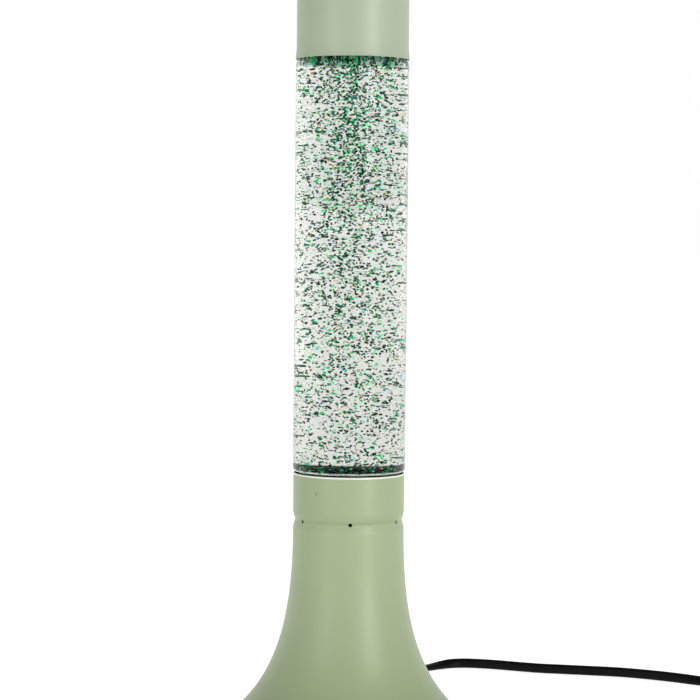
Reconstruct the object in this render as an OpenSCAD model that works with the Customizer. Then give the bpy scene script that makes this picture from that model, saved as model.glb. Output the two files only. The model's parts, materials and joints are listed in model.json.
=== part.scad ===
// Glitter lamp. A straight clear bottle stands in a spun, flared base over a small reflector
// bulb, and a spun cap lifts off its neck. The lead has an in-line switch and a flat plug.
// Millimetres. The origin is the middle of the base on the surface it stands on, +Z is up,
// and the lead leaves the base towards +Y.

/* [Overall] */
// Height of the base, from the surface to the top edge of its collar
base_h = 138; // [125:1:170]
// Diameter of the base over its foot rim
base_d = 132; // [115:1:165]
// Diameter of the glass bottle
bottle_d = 60; // [52:0.5:72]
// Length of glass that shows between the base and the cap
glass_h = 218; // [170:1:270]
// Height of the cap
cap_h = 58; // [50:1:80]

/* [Base shell] */
// Thickness of the spun sheet of the base
base_wall = 0.9; // [0.7:0.1:1.4]
// How far the collar stands in from the glass
collar_inset = 0.35; // [0.2:0.05:0.8]
// Distance from the collar's edge down to the waist of the rolled bead
bead_drop = 25; // [20:1:32]
// Depth of the rolled bead
bead_depth = 1.25; // [1:0.05:1.6]
// Width of the rolled bead
bead_w = 10; // [8:0.5:13]
// How far below the middle of the bead the flare starts
flare_drop = 7; // [6:0.5:10]
// Diameter of the vent holes in the bead
vent_d = 2; // [1.5:0.1:3]
// Number of vent holes in the bead
vent_count = 6; // [3:1:12]
// Height at which the sides start to leave the vertical
flare_waist_z = 54.5; // [45:0.5:65]
// How far the knee of the flare stands out from the collar
knee_out = 10.8; // [7:0.2:14]
// Height of the knee of the flare
knee_z = 24.5; // [20:0.5:30]
// Radius of the foot rim's edge
rim_round = 1; // [0.6:0.1:1.6]
// Width of the flange turned in under the rim
flange_w = 11; // [9:0.5:14]

/* [Bottom] */
// Height of the rubber feet
foot_h = 2.5; // [2.2:0.1:5]
// Diameter of the rubber feet
foot_d = 14; // [10:0.5:16]
// Thickness of the bottom plate
plate_t = 1; // [0.8:0.1:1.6]
// How far the plate's edge stays inside the rim
plate_inset = 4; // [2:0.5:5]
// Diameter of the air holes in the bottom plate
air_hole_d = 6; // [3:0.5:8]
// Diameter of the plate screws
plate_screw_d = 2.9; // [2.5:0.1:3.5]

/* [Lampholder] */
// Height of the holder's bracket
bracket_h = 11; // [10:0.5:16]
// Thickness of the bracket's strip
bracket_t = 1.2; // [1:0.1:2]
// Width of the bracket's strip
bracket_w = 16; // [14:0.5:20]
// Diameter of the threaded tube that carries the holder
nipple_d = 10; // [9:0.1:10.5]
// Outer diameter of the holder
holder_d = 26; // [25:0.5:30]
// Height of the holder's lower cup
cup_h = 12.5; // [12:0.5:16]
// Height of the holder's upper sleeve
sleeve_h = 25.5; // [23:0.5:28]
// Inner diameter of the brass thread
thread_d = 14.1; // [14:0.05:14.4]

/* [Bulb] */
// Diameter of the reflector bulb
bulb_d = 39; // [32:0.5:47]
// Length of the bulb, tip to crown
bulb_len = 66; // [58:0.5:67]
// Diameter of the bulb's screw cap over its thread
screw_cap_d = 13.7; // [13.5:0.05:13.9]
// Thickness of the bulb's glass
bulb_wall = 0.7; // [0.5:0.1:1]

/* [Bottle] */
// Thickness of the bottle's glass
glass_wall = 2.5; // [2:0.1:3.5]
// Gap that shows between the collar's edge and the glass above it
seat_gap = 1; // [0.5:0.1:2]
// Play between the bottle's foot and the collar around it
foot_play = 0.55; // [0.4:0.05:0.8]
// Thickness of the bottle's bottom
bottom_t = 4; // [3:0.5:6]
// Rise of the hollow under the bottle
punt_h = 2; // [0:0.5:4]
// Radius of the shoulder under the cap
shoulder_r = 14; // [10:0.5:16]
// Diameter of the neck
neck_d = 24; // [20:0.5:26]
// Radius of the hollow curve where the shoulder meets the neck
throat_r = 16; // [12:0.5:18]
// Length of the straight neck
neck_h = 9; // [7:0.5:14]
// Length of the neck that holds air
air_h = 10; // [5:0.5:14]

/* [Cap] */
// Thickness of the spun sheet of the cap
cap_wall = 0.9; // [0.7:0.1:1.2]
// How far the cap's side stands in from the glass
cap_inset = 0.35; // [0.2:0.05:0.8]
// How far the cap's lower edge flares out past its side
cap_flare = 0.65; // [0.4:0.05:1]
// Height of that flare
cap_flare_h = 8; // [5:0.5:12]
// Radius of the cap's top edge
cap_round = 6; // [3:0.5:12]
// Rise of the cap's domed top
cap_dome = 1.5; // [0:0.5:4]

/* [Lead] */
// Width of the flat two-core lead
cord_w = 5.8; // [5.4:0.1:6.4]
// Thickness of the flat two-core lead
cord_t = 3.4; // [3:0.1:3.8]
// Length of the tapered sleeve where the lead leaves the base
relief_len = 25; // [20:1:30]
// Centre of the coiled lead, across
coil_x = 287; // [280:1:290]
// Centre of the coiled lead, front to back
coil_y = 1; // [-4:1:6]
// Radius to the middle of the coil's outermost turn
coil_r = 37; // [35:0.5:38]
// Radius to the middle of the coil's innermost turn
coil_inner_r = 27; // [25:0.5:28]

/* [Switch and plug] */
// Length of the in-line switch
switch_l = 58; // [56:1:60]
// Width of the in-line switch
switch_w = 24; // [22:0.5:28]
// Height of the in-line switch without its rocker
switch_h = 14; // [13:0.5:17]
// Wall of the switch's shells
switch_wall = 1.6; // [1.2:0.1:2]
// Angle that the rocker turns through
rocker_turn = 16; // [12:1:20]
// Diameter of the plug's pins
pin_d = 4; // [3.8:0.1:4.8]
// Distance between the plug's pins
pin_gap = 18.6; // [17:0.1:19.5]
// Length of the plug's body
plug_l = 37; // [35:1:40]
// Thickness of the plug's body
plug_t = 13.7; // [12:0.1:15]

/* [Hidden] */
$fn = 96;
eps = 0.05;

sage = [0.66, 0.73, 0.56];
steel = [0.72, 0.73, 0.75];
brass = [0.80, 0.66, 0.33];
black_plastic = [0.07, 0.07, 0.08];
clear_glass = [0.86, 0.92, 0.90, 0.35];

// Heights of the bottom
plate_top = foot_h + plate_t;
rim_z = plate_top;
base_r = base_d / 2;
flange_top = rim_z + base_wall;
flange_in_r = base_r - rim_round - flange_w;
plate_screw_r = flange_in_r + 3;
plate_screw_head = 1.5;
plate_screw_len = 3;
foot_circle_r = flange_in_r - foot_d / 2 + 1;
air_circle_r = foot_circle_r - foot_d / 2 - air_hole_d / 2 - 3;
air_hole_count = 8;

// Collar, bead and flare of the base
bottle_r = bottle_d / 2;
collar_r = bottle_r - collar_inset;
bead_z = base_h - bead_drop;
flare_top_z = bead_z - flare_drop;
lip = base_wall / 2;
rim_turn = 45;
rim_c = [base_r - rim_round, rim_z + rim_round];
flare = [
  [collar_r, flare_top_z], [collar_r, flare_waist_z], [collar_r + knee_out, knee_z],
  rim_c + rim_round * [cos(rim_turn), sin(rim_turn)]];
flare_steps = 26;
bead_steps = 16;
// 1 for a straight-sided groove, more for sides that curve into a crease
bead_bend = 1.6;

// Notch for the lead at the back of the base
notch_w = 9.5;
notch_h = 7;
cord_z = plate_top + notch_h / 2;
flange_seat = 0.2;
relief_y = base_r + flange_seat + 1.5;
cord_exit_y = relief_y + relief_len;
clamp_y = flange_in_r - 9;
clamp_half = 11;
clamp_screw_x = 9;
inner_end_y = clamp_y - 4;

// Lampholder stack
bracket_leg_x = 14;
bracket_foot = 9;
rivet_x = bracket_leg_x + bracket_foot / 2;
rivet_d = 3;
holder_z = plate_top + bracket_h;
holder_r = holder_d / 2;
cup_floor = 3;
nipple_r = nipple_d / 2;
nut_t = 3.2;
washer_t = 0.8;
cup_top = holder_z + cup_h;
block_flange_t = 3.5;
block_top = cup_top + 4;
contact_h = 2;
tip_gap = 0.05;
tip_z = block_top + contact_h + tip_gap;
sleeve_top = cup_top + sleeve_h;
thread_r = thread_d / 2;
thread_wall = 0.4;
thread_pitch = 2.82;
block_r = thread_r + thread_wall + 0.9;
terminal_x = 6;
terminal_z = cup_top - block_flange_t - 1.5;

// Bulb, measured up from its tip
bulb_r = bulb_d / 2;
screw_cap_r = screw_cap_d / 2;
cap_foil = 0.25;
screw_cap_len = 20.5;
bulb_neck_r = screw_cap_r - 0.25 - cap_foil - 0.1;
bulb_dome_h = 15;
bulb_widest = bulb_len - bulb_dome_h;

// Bottle
heel_z = base_h + seat_gap;
cap_z = heel_z + glass_h;
lamp_top = cap_z + cap_h;
socket_r = collar_r - base_wall;
bottle_foot_r = socket_r - foot_play;
heel_r = bottle_r - bottle_foot_r;
// the foot's edge stands on the slope of the bead, where the bead has come in by seat_dip
seat_dip = foot_play + 0.15;
foot_z = bead_z + bead_w / 2 * (1 - pow(seat_dip / bead_depth, 1 / bead_bend)) + eps;
cap_fit = 0.1;
cap_r = bottle_r - cap_inset;
cap_edge_r = cap_r + cap_flare - cap_wall;
shoulder_z = cap_z - sqrt(pow(shoulder_r, 2) - pow(shoulder_r - bottle_r + cap_edge_r - cap_fit, 2));
neck_r = neck_d / 2;
// the shoulder turns until the hollow throat carries on from it into the straight neck
shoulder_turn = acos((shoulder_r + throat_r - bottle_r + neck_r) / (shoulder_r + throat_r));
throat_z = shoulder_z + (shoulder_r + throat_r) * sin(shoulder_turn);
mouth_z = throat_z + neck_h;
finish_r = neck_r + 1;
finish_h = 4;
mouth_r = neck_r - 3;
liquid_top = mouth_z - air_h;
floor_z = foot_z + bottom_t;
floor_corner = 3;
bed_gap = 0.5;
bed_t = 0.6;
bed_r = bottle_foot_r - glass_wall - floor_corner - bed_gap;
crown_r = finish_r + 2.6;
crown_h = 6;
crown_t = 0.4;
liner_t = 0.6;
crown_flutes = 21;
crown_top = mouth_z + liner_t + crown_t;

// Coil of the lead, in two layers on edge
tie_t = 0.6;
coil_h = 2 * cord_w;
coil_out_r = coil_r + cord_t / 2;
coil_in_r = coil_inner_r - cord_t / 2 - 1;

// Switch, turned to the run of the lead
switch_at = [260.5, 79.5];
switch_turn = -45;
split_z = 6.5;
switch_round = 6;
pivot_z = switch_h - 3.5;
rocker_l = 19.6;
rocker_w = 11;
trunnion_r = 1.2;
trunnion_play = 0.06;
cheek_gap = 0.4;
cheek_t = 1.6;
screw_at = [switch_l / 2 - 8, 8];

// Plug, lying with its pins towards -X
plug_x = 246;
plug_y = -36;
plug_relief = 22;
plug_w = 34;
plug_face_l = 15;
pin_l = 19;
pin_sleeve_l = 10;
pin_core_r = pin_d / 2 - 0.8;

// Route of the lead, each point as [x, y, turn of the flat section, height above where it rests]
TO_SWITCH = [
  [0, 93, 0, 5.3], [1, 102, 0, 4.8], [3, 112, 0, 3.2], [7, 122, 0, 1.4], [12, 131, 0, 0.3],
  [19, 140, 0, 0], [28, 149, 0, 0], [39, 158, 0, 0], [50, 166, 5, 0], [57, 171, 30, 0],
  [64, 174.5, 60, 0], [72, 175.5, 80, 0], [82, 174, 90, 0], [93, 170.5, 90, 0],
  [105, 165.5, 90, 0], [117, 161, 90, 0], [129, 158.5, 90, 0], [141, 156, 90, 0],
  [153, 153.5, 90, 0], [165, 150.5, 90, 0], [176, 146, 90, 0], [187, 140.5, 85, 0],
  [198, 134, 75, 0], [208, 127.5, 60, 0], [217, 120.5, 45, 0.5], [226, 113, 25, 1.8],
  [233, 107, 10, 3.6], [240, 100, 0, 4.8]];
TO_COIL = [
  [281, 59, 0, 4.8], [286, 54, 10, 4.2], [291, 49, 30, 3], [296, 44, 50, 2], [301, 39, 70, 1.2],
  [306, 34, 85, 0.7]];
TO_PLUG = [
  [275, -36, 80, 6], [268, -36, 60, 5.6], [260, -36, 30, 5.3], [253, -36, 10, 5.2],
  [246, -36, 0, 5.15]];

// Points along an arc about [cx, cz], from angle a0 to a1
function arc(cx, cz, r, a0, a1, steps) =
  [for (i = [0:steps]) let (a = a0 + (a1 - a0) * i / steps) [cx + r * cos(a), cz + r * sin(a)]];

// A point on the cubic curve over four control points, and the direction there
function curve(c, t) =
  pow(1 - t, 3) * c[0] + 3 * pow(1 - t, 2) * t * c[1] + 3 * (1 - t) * t * t * c[2] + pow(t, 3) * c[3];
function heading(c, t) =
  3 * pow(1 - t, 2) * (c[1] - c[0]) + 6 * (1 - t) * t * (c[2] - c[1]) + 3 * t * t * (c[3] - c[2]);

// The same point moved in from the skin by w
function inside(c, t, w) = let (d = heading(c, t)) curve(c, t) - w * [-d[1], d[0]] / norm(d);

// How far the rolled bead has come in at height z
function bead_in(z) =
  bead_depth * pow(max(0, 1 - abs(z - bead_z) * 2 / bead_w), bead_bend);
function bead_side(r) =
  [for (i = [0:bead_steps]) let (z = bead_z + bead_w * (i / bead_steps - 0.5)) [r - bead_in(z), z]];

// How far the cap's edge has flared out at height z
function cap_out(z) = z < cap_z + cap_flare_h ? cap_flare * pow(1 - (z - cap_z) / cap_flare_h, 2) : 0;
function cap_side(r) = [for (i = [0:6]) let (z = cap_z + cap_flare_h * i / 6) [r + cap_out(z), z]];

function backwards(list) = [for (i = [len(list) - 1:-1:0]) list[i]];

// Outline of the bottle's shoulder, throat and neck, thickness w in from the skin
function shoulder(w) = concat(
  arc(bottle_r - shoulder_r, shoulder_z, shoulder_r - w, 0, shoulder_turn, 14),
  arc(neck_r + throat_r, throat_z, throat_r + w, 180 + shoulder_turn, 180, 14));

// A screw or rivet standing on z, with a domed head at its foot and its shank upwards
module fastener(d, head_d, head_h, len) {
  rotate_extrude()
    polygon(concat(
      [[0, 0], [head_d * 0.3, 0], [head_d * 0.45, head_h * 0.35], [head_d / 2, head_h]],
      [[d / 2, head_h], [d / 2, head_h + len - d / 5], [d / 2 - d / 5, head_h + len], [0, head_h + len]]));
}

// The flat lead's section, grown by a play all round
module cord_section(play = 0) {
  side = cord_w - cord_t;
  union() {
    square([side, cord_t + 2 * play], center = true);
    for (s = [-1, 1]) translate([s * side / 2, 0]) circle(d = cord_t + 2 * play);
  }
}

// A straight length of the lead lying flat along Y, or the bore for it
module cord_along_y(y0, y1, play = 0) {
  translate([0, y1, cord_z]) rotate([90, 0, 0]) linear_extrude(height = y1 - y0) cord_section(play);
}

// Eight corners round the flat lead, and how far they reach down when it is turned
function section_corners() =
  [for (p = [[1, 0.41], [0.55, 1], [-0.55, 1], [-1, 0.41], [-1, -0.41], [-0.55, -1], [0.55, -1], [1, -0.41]])
    [p[0] * cord_w / 2, p[1] * cord_t / 2]];
function reach(turn) = max([for (p = section_corners()) p[0] * sin(turn) + p[1] * cos(turn)]);
function place(p) = [p[0], p[1], reach(p[2]) + p[3]];
function unit(v) = v / norm(v);
function run_heading(route, i) =
  unit(place(route[min(i + 1, len(route) - 1)]) - place(route[max(i - 1, 0)]));

// The ring of corners at a route point: across the lead is level until the section is turned
function ring(route, i) =
  let (d = run_heading(route, i), across = unit(cross([0, 0, 1], d)), up = cross(d, across), a = route[i][2])
  [for (p = section_corners())
    place(route[i]) + (p[0] * cos(a) - p[1] * sin(a)) * across + (p[0] * sin(a) + p[1] * cos(a)) * up];

// A closed tube through rings of n corners each
module tube(rings) {
  n = len(rings[0]);
  last = len(rings) - 1;
  polyhedron(
    points = [for (r = rings) each r],
    faces = concat(
      [[for (k = [0:n - 1]) k]],
      [for (i = [0:last - 1], k = [0:n - 1]) let (a = i * n, b = a + n, m = (k + 1) % n) [a + k, b + k, b + m, a + m]],
      [[for (k = [n - 1:-1:0]) last * n + k]]),
    convexity = 8);
}

module lead_run(route) {
  tube([for (i = [0:len(route) - 1]) ring(route, i)]);
}

// A round wire through a list of places
module wire(places, d) {
  sides = 8;
  tube([for (i = [0:len(places) - 1])
    let (h = unit(places[min(i + 1, len(places) - 1)] - places[max(i - 1, 0)]),
      across = unit(cross([1, 0, 0], h)), up = cross(h, across))
    [for (k = [0:sides - 1]) places[i] + d / 2 * (cos(360 * k / sides) * across + sin(360 * k / sides) * up)]]);
}

// ---- Base ----

module base_shell() {
  outer = [for (i = [flare_steps:-1:0]) curve(flare, i / flare_steps)];
  inner = [for (i = [0:flare_steps]) inside(flare, i / flare_steps, base_wall)];
  inner_foot = [for (p = inner) if (p[1] > flange_top + 0.3) p];
  edge = heading(flare, 1);
  foot_in = inner_foot[len(inner_foot) - 1];
  color(sage)
    difference() {
      rotate_extrude()
        polygon(concat(
          [[flange_in_r, rim_z]],
          arc(rim_c[0], rim_c[1], rim_round, -90, rim_turn, 6),
          outer,
          bead_side(collar_r),
          arc(collar_r - lip, base_h - lip, lip, 0, 180, 8),
          backwards(bead_side(collar_r - base_wall)),
          inner_foot,
          [[foot_in[0] + (foot_in[1] - flange_top) * edge[0] / -edge[1], flange_top], [flange_in_r, flange_top]]));
      for (k = [0:vent_count - 1])
        rotate([0, 0, -88 + 360 * k / vent_count])
          translate([collar_r - bead_depth - 3 * base_wall, 0, bead_z])
            rotate([0, 90, 0]) cylinder(d = vent_d, h = 6 * base_wall);
      translate([-notch_w / 2, flange_in_r - 5, 0]) cube([notch_w, flange_w + 15, plate_top + notch_h]);
      for (a = [30, 150, 270])
        rotate([0, 0, a]) translate([plate_screw_r, 0, rim_z - 1])
          cylinder(d = plate_screw_d + 0.1, h = base_wall + 2);
    }
}

module base_plate() {
  color(steel)
    difference() {
      union() {
        translate([0, 0, foot_h]) cylinder(r = base_r - plate_inset, h = plate_t);
        translate([-6.5, clamp_y - 3, plate_top - eps]) cube([13, 6, cord_z - cord_t / 2 - plate_top + eps]);
      }
      for (k = [0:air_hole_count - 1])
        rotate([0, 0, 360 * (k + 0.5) / air_hole_count]) translate([air_circle_r, 0, foot_h - 1])
          cylinder(d = air_hole_d, h = plate_t + 2);
      for (a = [30, 150, 270])
        rotate([0, 0, a]) translate([plate_screw_r, 0, foot_h - 1])
          cylinder(d = plate_screw_d + 0.4, h = plate_t + 2);
      for (s = [-1, 1]) {
        translate([s * rivet_x, 0, foot_h - 1]) cylinder(d = rivet_d, h = plate_t + 2);
        translate([s * clamp_screw_x, clamp_y, foot_h - 1]) cylinder(d = plate_screw_d, h = plate_t + 2);
      }
    }
}

module plate_screws() {
  color(steel)
    for (a = [30, 150, 270])
      rotate([0, 0, a]) translate([plate_screw_r, 0, foot_h - plate_screw_head])
        fastener(plate_screw_d, 5.5, plate_screw_head, plate_screw_len);
}

module foot(k) {
  edge = 0.8;
  color([0.16, 0.16, 0.17])
    rotate([0, 0, 90 * k - 45]) translate([foot_circle_r, 0, 0])
      rotate_extrude()
        polygon(concat(
          [[0, 0]],
          arc(foot_d / 2 - edge, edge, edge, -90, 0, 5),
          [[foot_d / 2, foot_h], [0, foot_h]]));
}

// ---- Lampholder ----

module holder_bracket() {
  t = bracket_t;
  x = bracket_leg_x;
  color(steel)
    difference() {
      translate([0, bracket_w / 2, 0]) rotate([90, 0, 0])
        linear_extrude(height = bracket_w)
          polygon([
            [-x - bracket_foot, plate_top], [-x, plate_top], [-x, holder_z - t], [x, holder_z - t],
            [x, plate_top], [x + bracket_foot, plate_top], [x + bracket_foot, plate_top + t],
            [x + t, plate_top + t], [x + t, holder_z], [-x - t, holder_z], [-x - t, plate_top + t],
            [-x - bracket_foot, plate_top + t]]);
      translate([0, 0, holder_z - 2 * t]) cylinder(d = nipple_d + 0.4, h = 3 * t);
      for (s = [-1, 1]) translate([s * rivet_x, 0, plate_top - 1]) cylinder(d = rivet_d, h = t + 2);
    }
}

module bracket_rivets() {
  head_h = 0.8;
  color(steel)
    for (s = [-1, 1])
      translate([s * rivet_x, 0, 0]) {
        translate([0, 0, foot_h - head_h]) cylinder(d1 = 3.5, d2 = 5.5, h = head_h);
        translate([0, 0, foot_h - head_h / 2])
          cylinder(d = rivet_d, h = plate_t + bracket_t + head_h);
        translate([0, 0, plate_top + bracket_t]) cylinder(d1 = 5.5, d2 = 3.5, h = head_h);
      }
}

module holder_nipple() {
  z0 = holder_z - bracket_t - washer_t - nut_t - 1;
  color(brass)
    translate([0, 0, z0])
      difference() {
        cylinder(r = nipple_r, h = holder_z + cup_floor + 2 - z0);
        translate([0, 0, -1]) cylinder(r = nipple_r - 1.5, h = 30);
      }
}

module nipple_nut() {
  color(steel)
    translate([0, 0, holder_z - bracket_t - washer_t - nut_t])
      difference() {
        cylinder(d = nipple_d + 6.2, h = nut_t, $fn = 6);
        translate([0, 0, -1]) cylinder(r = nipple_r + eps, h = nut_t + 2);
      }
}

module lock_washer() {
  teeth = 12;
  outer = nipple_r + 3.4;
  color(steel)
    translate([0, 0, holder_z - bracket_t - washer_t])
      difference() {
        cylinder(r = outer, h = washer_t);
        translate([0, 0, -1]) cylinder(r = nipple_r + 2 * eps, h = washer_t + 2);
        for (k = [0:teeth - 1])
          rotate([0, 0, 360 * k / teeth]) translate([outer, 0, -1]) cylinder(r = 0.9, h = washer_t + 2);
      }
}

module holder_cup() {
  wall = 1.8;
  ledge_z = cup_top - block_flange_t;
  color(black_plastic)
    difference() {
      rotate_extrude()
        polygon([
          [nipple_r + eps, holder_z], [holder_r - 2.5, holder_z], [holder_r, holder_z + 2.5],
          [holder_r, cup_top], [holder_r - wall, cup_top], [holder_r - wall, ledge_z],
          [holder_r - wall - 1, ledge_z], [holder_r - wall - 1, holder_z + cup_floor],
          [nipple_r + 2.5, holder_z + cup_floor], [nipple_r + 2.5, holder_z + cup_floor + 2],
          [nipple_r + eps, holder_z + cup_floor + 2]]);
      translate([-terminal_x - 2.5, 6, holder_z + cup_floor + 1.2])
        cube([2 * terminal_x + 5, holder_r, ledge_z - holder_z - cup_floor - 1.2]);
    }
}

module contact_block() {
  flange_r = holder_r - 1.9;
  color([0.88, 0.86, 0.80])
    difference() {
      union() {
        translate([0, 0, cup_top - block_flange_t]) cylinder(r = flange_r, h = block_flange_t);
        cylinder_on(cup_top - eps, block_r, block_top);
      }
      for (s = [-1, 1])
        translate([s * terminal_x, 0, cup_top - block_flange_t - 1]) cylinder(d = 3, h = 5);
    }
}

module cylinder_on(z, r, top) {
  translate([0, 0, z]) cylinder(r = r, h = top - z);
}

module terminal_screws() {
  color(brass)
    for (s = [-1, 1])
      translate([s * terminal_x, 0, cup_top - block_flange_t - 1.6]) fastener(2.9, 5, 1.6, 3.6);
}

module centre_contact() {
  t = 0.5;
  span = 5;
  color(brass)
    translate([0, 2, block_top]) rotate([90, 0, 0])
      linear_extrude(height = 4)
        polygon([
          [-span, 0], [-1.5, 0], [2.5, contact_h - t], [span - 1, contact_h - t - 0.6],
          [span - 1, contact_h - 0.6], [2.2, contact_h], [0, contact_h], [-1.8, t], [-span, t]]);
}

// One wall of a rolled round thread, as points up the z axis
function thread_line(r, z0, z1, depth) =
  let (turns = floor((z1 - z0) / thread_pitch))
  [for (i = [0:4 * turns]) [r + depth * (1 - cos(90 * i)) / 2, z0 + thread_pitch * i / 4]];

module thread_sleeve() {
  z0 = block_top + 0.5;
  z1 = sleeve_top - 3;
  depth = 0.25;
  inner = thread_line(thread_r, z0, z1, depth);
  color(brass)
    rotate_extrude() polygon(concat(inner, [for (p = backwards(inner)) p + [thread_wall, 0]]));
}

module holder_sleeve() {
  bore = block_r + 0.1;
  color(black_plastic)
    rotate_extrude()
      polygon([
        [bore, cup_top], [holder_r, cup_top], [holder_r, cup_top + 8], [holder_r - 1, cup_top + 9],
        [holder_r - 1, sleeve_top - 1.5], [holder_r - 2.5, sleeve_top], [thread_r + 0.6, sleeve_top],
        [thread_r + 0.6, sleeve_top - 2.6], [bore, sleeve_top - 2.6]]);
}

// An insulated core from the stripped end of the lead up to its terminal
module core(side) {
  wire([
    [side * 1.3, inner_end_y - 0.2, cord_z], [side * 2.5, inner_end_y - 5, cord_z + 0.5],
    [side * 4.5, inner_end_y - 10, cord_z + 3], [side * terminal_x, holder_r + 7, terminal_z - 5],
    [side * terminal_x, holder_r + 1.5, terminal_z - 1], [side * terminal_x, holder_r - 3, terminal_z],
    [side * terminal_x, 2.6, terminal_z]], 1.9);
}

module brown_lead() {
  color([0.36, 0.20, 0.10]) core(-1);
}

module blue_lead() {
  color([0.12, 0.30, 0.62]) core(1);
}

// ---- Lead and its entry ----

module cord_bushing() {
  rim = 1.5;
  rim_w = notch_w + 3;
  rim_in_y = sqrt(pow(flange_in_r, 2) - pow(rim_w / 2, 2)) - 0.1;
  body_w = notch_w - 0.2;
  body_h = notch_h - 0.1;
  color(black_plastic)
    difference() {
      union() {
        translate([-body_w / 2, rim_in_y - eps, plate_top])
          cube([body_w, base_r - rim_in_y + flange_seat + 2 * eps, body_h]);
        translate([-rim_w / 2, base_r + flange_seat, plate_top]) cube([rim_w, rim, notch_h + 1.5]);
        translate([-rim_w / 2, rim_in_y - rim, plate_top]) cube([rim_w, rim, notch_h + 1.5]);
        relief_sleeve(relief_y - eps, relief_len + eps);
      }
      cord_along_y(flange_in_r - 5, cord_exit_y + 5, eps);
    }
}

// The tapered sleeve: narrower and thinner towards its end
module relief_sleeve(y0, len) {
  wide = [cord_w + 3.4, cord_w + 1.6];
  tall = [cord_t + 3.4, cord_t + 1.6];
  intersection() {
    translate([0, y0, cord_z - tall[0]]) linear_extrude(height = 2 * tall[0])
      polygon([[-wide[0] / 2, 0], [wide[0] / 2, 0], [wide[1] / 2, len], [-wide[1] / 2, len]]);
    translate([-wide[0], y0, cord_z]) rotate([90, 0, 90]) linear_extrude(height = 2 * wide[0])
      polygon([[0, -tall[0] / 2], [len, -tall[1] / 2], [len, tall[1] / 2], [0, tall[0] / 2]]);
  }
}

module cord_inner() {
  color(black_plastic) cord_along_y(inner_end_y, cord_exit_y);
}

module cord_clamp() {
  leg = 7;
  bar_z = cord_z + cord_t / 2;
  color(black_plastic)
    difference() {
      union() {
        translate([-clamp_half, clamp_y - 3, bar_z]) cube([2 * clamp_half, 6, 2.5]);
        for (s = [-1, 1])
          translate([s * (leg + clamp_half) / 2 - (clamp_half - leg) / 2, clamp_y - 3, plate_top])
            cube([clamp_half - leg, 6, bar_z - plate_top + eps]);
      }
      for (s = [-1, 1]) translate([s * clamp_screw_x, clamp_y, 0]) cylinder(d = plate_screw_d + 0.2, h = 30);
    }
}

module clamp_screws() {
  head = 1.6;
  top = cord_z + cord_t / 2 + 2.5;
  color(steel)
    for (s = [-1, 1])
      translate([s * clamp_screw_x, clamp_y, top + head]) rotate([180, 0, 0])
        fastener(plate_screw_d, 5, head, top - foot_h);
}

// ---- Bulb ----

module bulb_contact() {
  color(steel)
    translate([0, 0, tip_z])
      rotate_extrude()
        polygon([[0, 0], [1.2, 0.1], [2, 0.5], [2.3, 1.2], [2.3, 1.6], [0, 1.6]]);
}

module bulb_insulator() {
  color([0.06, 0.05, 0.06])
    translate([0, 0, tip_z])
      rotate_extrude()
        polygon([[2.35, 1], [3.4, 1.4], [5.35, 3.9], [5.35, 4.6], [0, 4.6], [0, 1.65], [2.35, 1.65]]);
}

module bulb_cap() {
  rolled = thread_line(screw_cap_r - 0.25, 5, screw_cap_len - 2, 0.25);
  skirt = [[screw_cap_r, screw_cap_len - 1.6], [screw_cap_r + 0.5, screw_cap_len]];
  outer = concat([[5.7, 4]], rolled, skirt);
  color(brass)
    translate([0, 0, tip_z])
      rotate_extrude() polygon(concat(outer, [for (p = backwards(outer)) p - [cap_foil, 0]]));
}

// Outline of the bulb's glass, w in from its skin, from the neck up to the crown
function bulb_line(w) =
  let (side = [
    [bulb_neck_r - w, 21], [bulb_neck_r - w, 33], [bulb_r - w, bulb_widest - 14], [bulb_r - w, bulb_widest]])
  concat(
    [[bulb_neck_r - w, 12]],
    [for (i = [0:14]) curve(side, i / 14)],
    [for (i = [1:12]) [(bulb_r - w) * cos(7.5 * i), bulb_widest + (bulb_dome_h - w) * sin(7.5 * i)]]);

module bulb_glass() {
  color(clear_glass)
    translate([0, 0, tip_z])
      rotate_extrude() polygon(concat(bulb_line(0), backwards(bulb_line(bulb_wall))));
}

module bulb_stem() {
  color(clear_glass)
    translate([0, 0, tip_z])
      rotate_extrude()
        polygon([
          [0, 12.2], [bulb_neck_r - bulb_wall - 0.05, 12.2], [bulb_neck_r - bulb_wall - 0.05, 13],
          [3.2, 14.5], [2.6, 18], [2.4, 27], [3, 31], [2.4, 32.5], [0, 32.5]]);
}

module bulb_filament() {
  top = bulb_widest - 8;
  color(steel)
    translate([0, 0, tip_z]) {
      for (s = [-1, 1])
        translate([s * 1.4, 0, 32.6]) rotate([0, s * 14, 0]) cylinder(d = 0.6, h = (top - 32.2) / cos(14));
      translate([-1.4 - (top - 32) * tan(14), 0, top]) rotate([0, 90, 0])
        cylinder(d = 0.9, h = 2.8 + 2 * (top - 32) * tan(14));
    }
}

// ---- Bottle ----

// Half outline of the hollow of the bottle from the axis at the bottom up to height top
// with its floor raised by bed
function hollow(top, play = 0, bed = 0) =
  let (
    r = bottle_r - glass_wall - play,
    foot_in = bed_r + bed_gap + floor_corner - play,
    neck = [for (p = shoulder(glass_wall + play)) if (p[1] < top) p])
  concat(
    bottle_floor(bed + play),
    bed > 0 ? [[bed_r + play, floor_z + bed + play], [bed_r + play, floor_z + play]] : [],
    arc(foot_in - floor_corner, floor_z + floor_corner + play, floor_corner, -90, 0, 6),
    [[foot_in, heel_z + 1], [r, heel_z + 1 + 1.6 * heel_r]],
    neck);

// Line of the floor inside the bottle from the axis out to the edge of the bed, raised by up
function bottle_floor(up) = [
  [0, floor_z + punt_h + up], [bed_r * 0.57, floor_z + punt_h * 0.7 + up], [bed_r, floor_z + up]];

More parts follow.
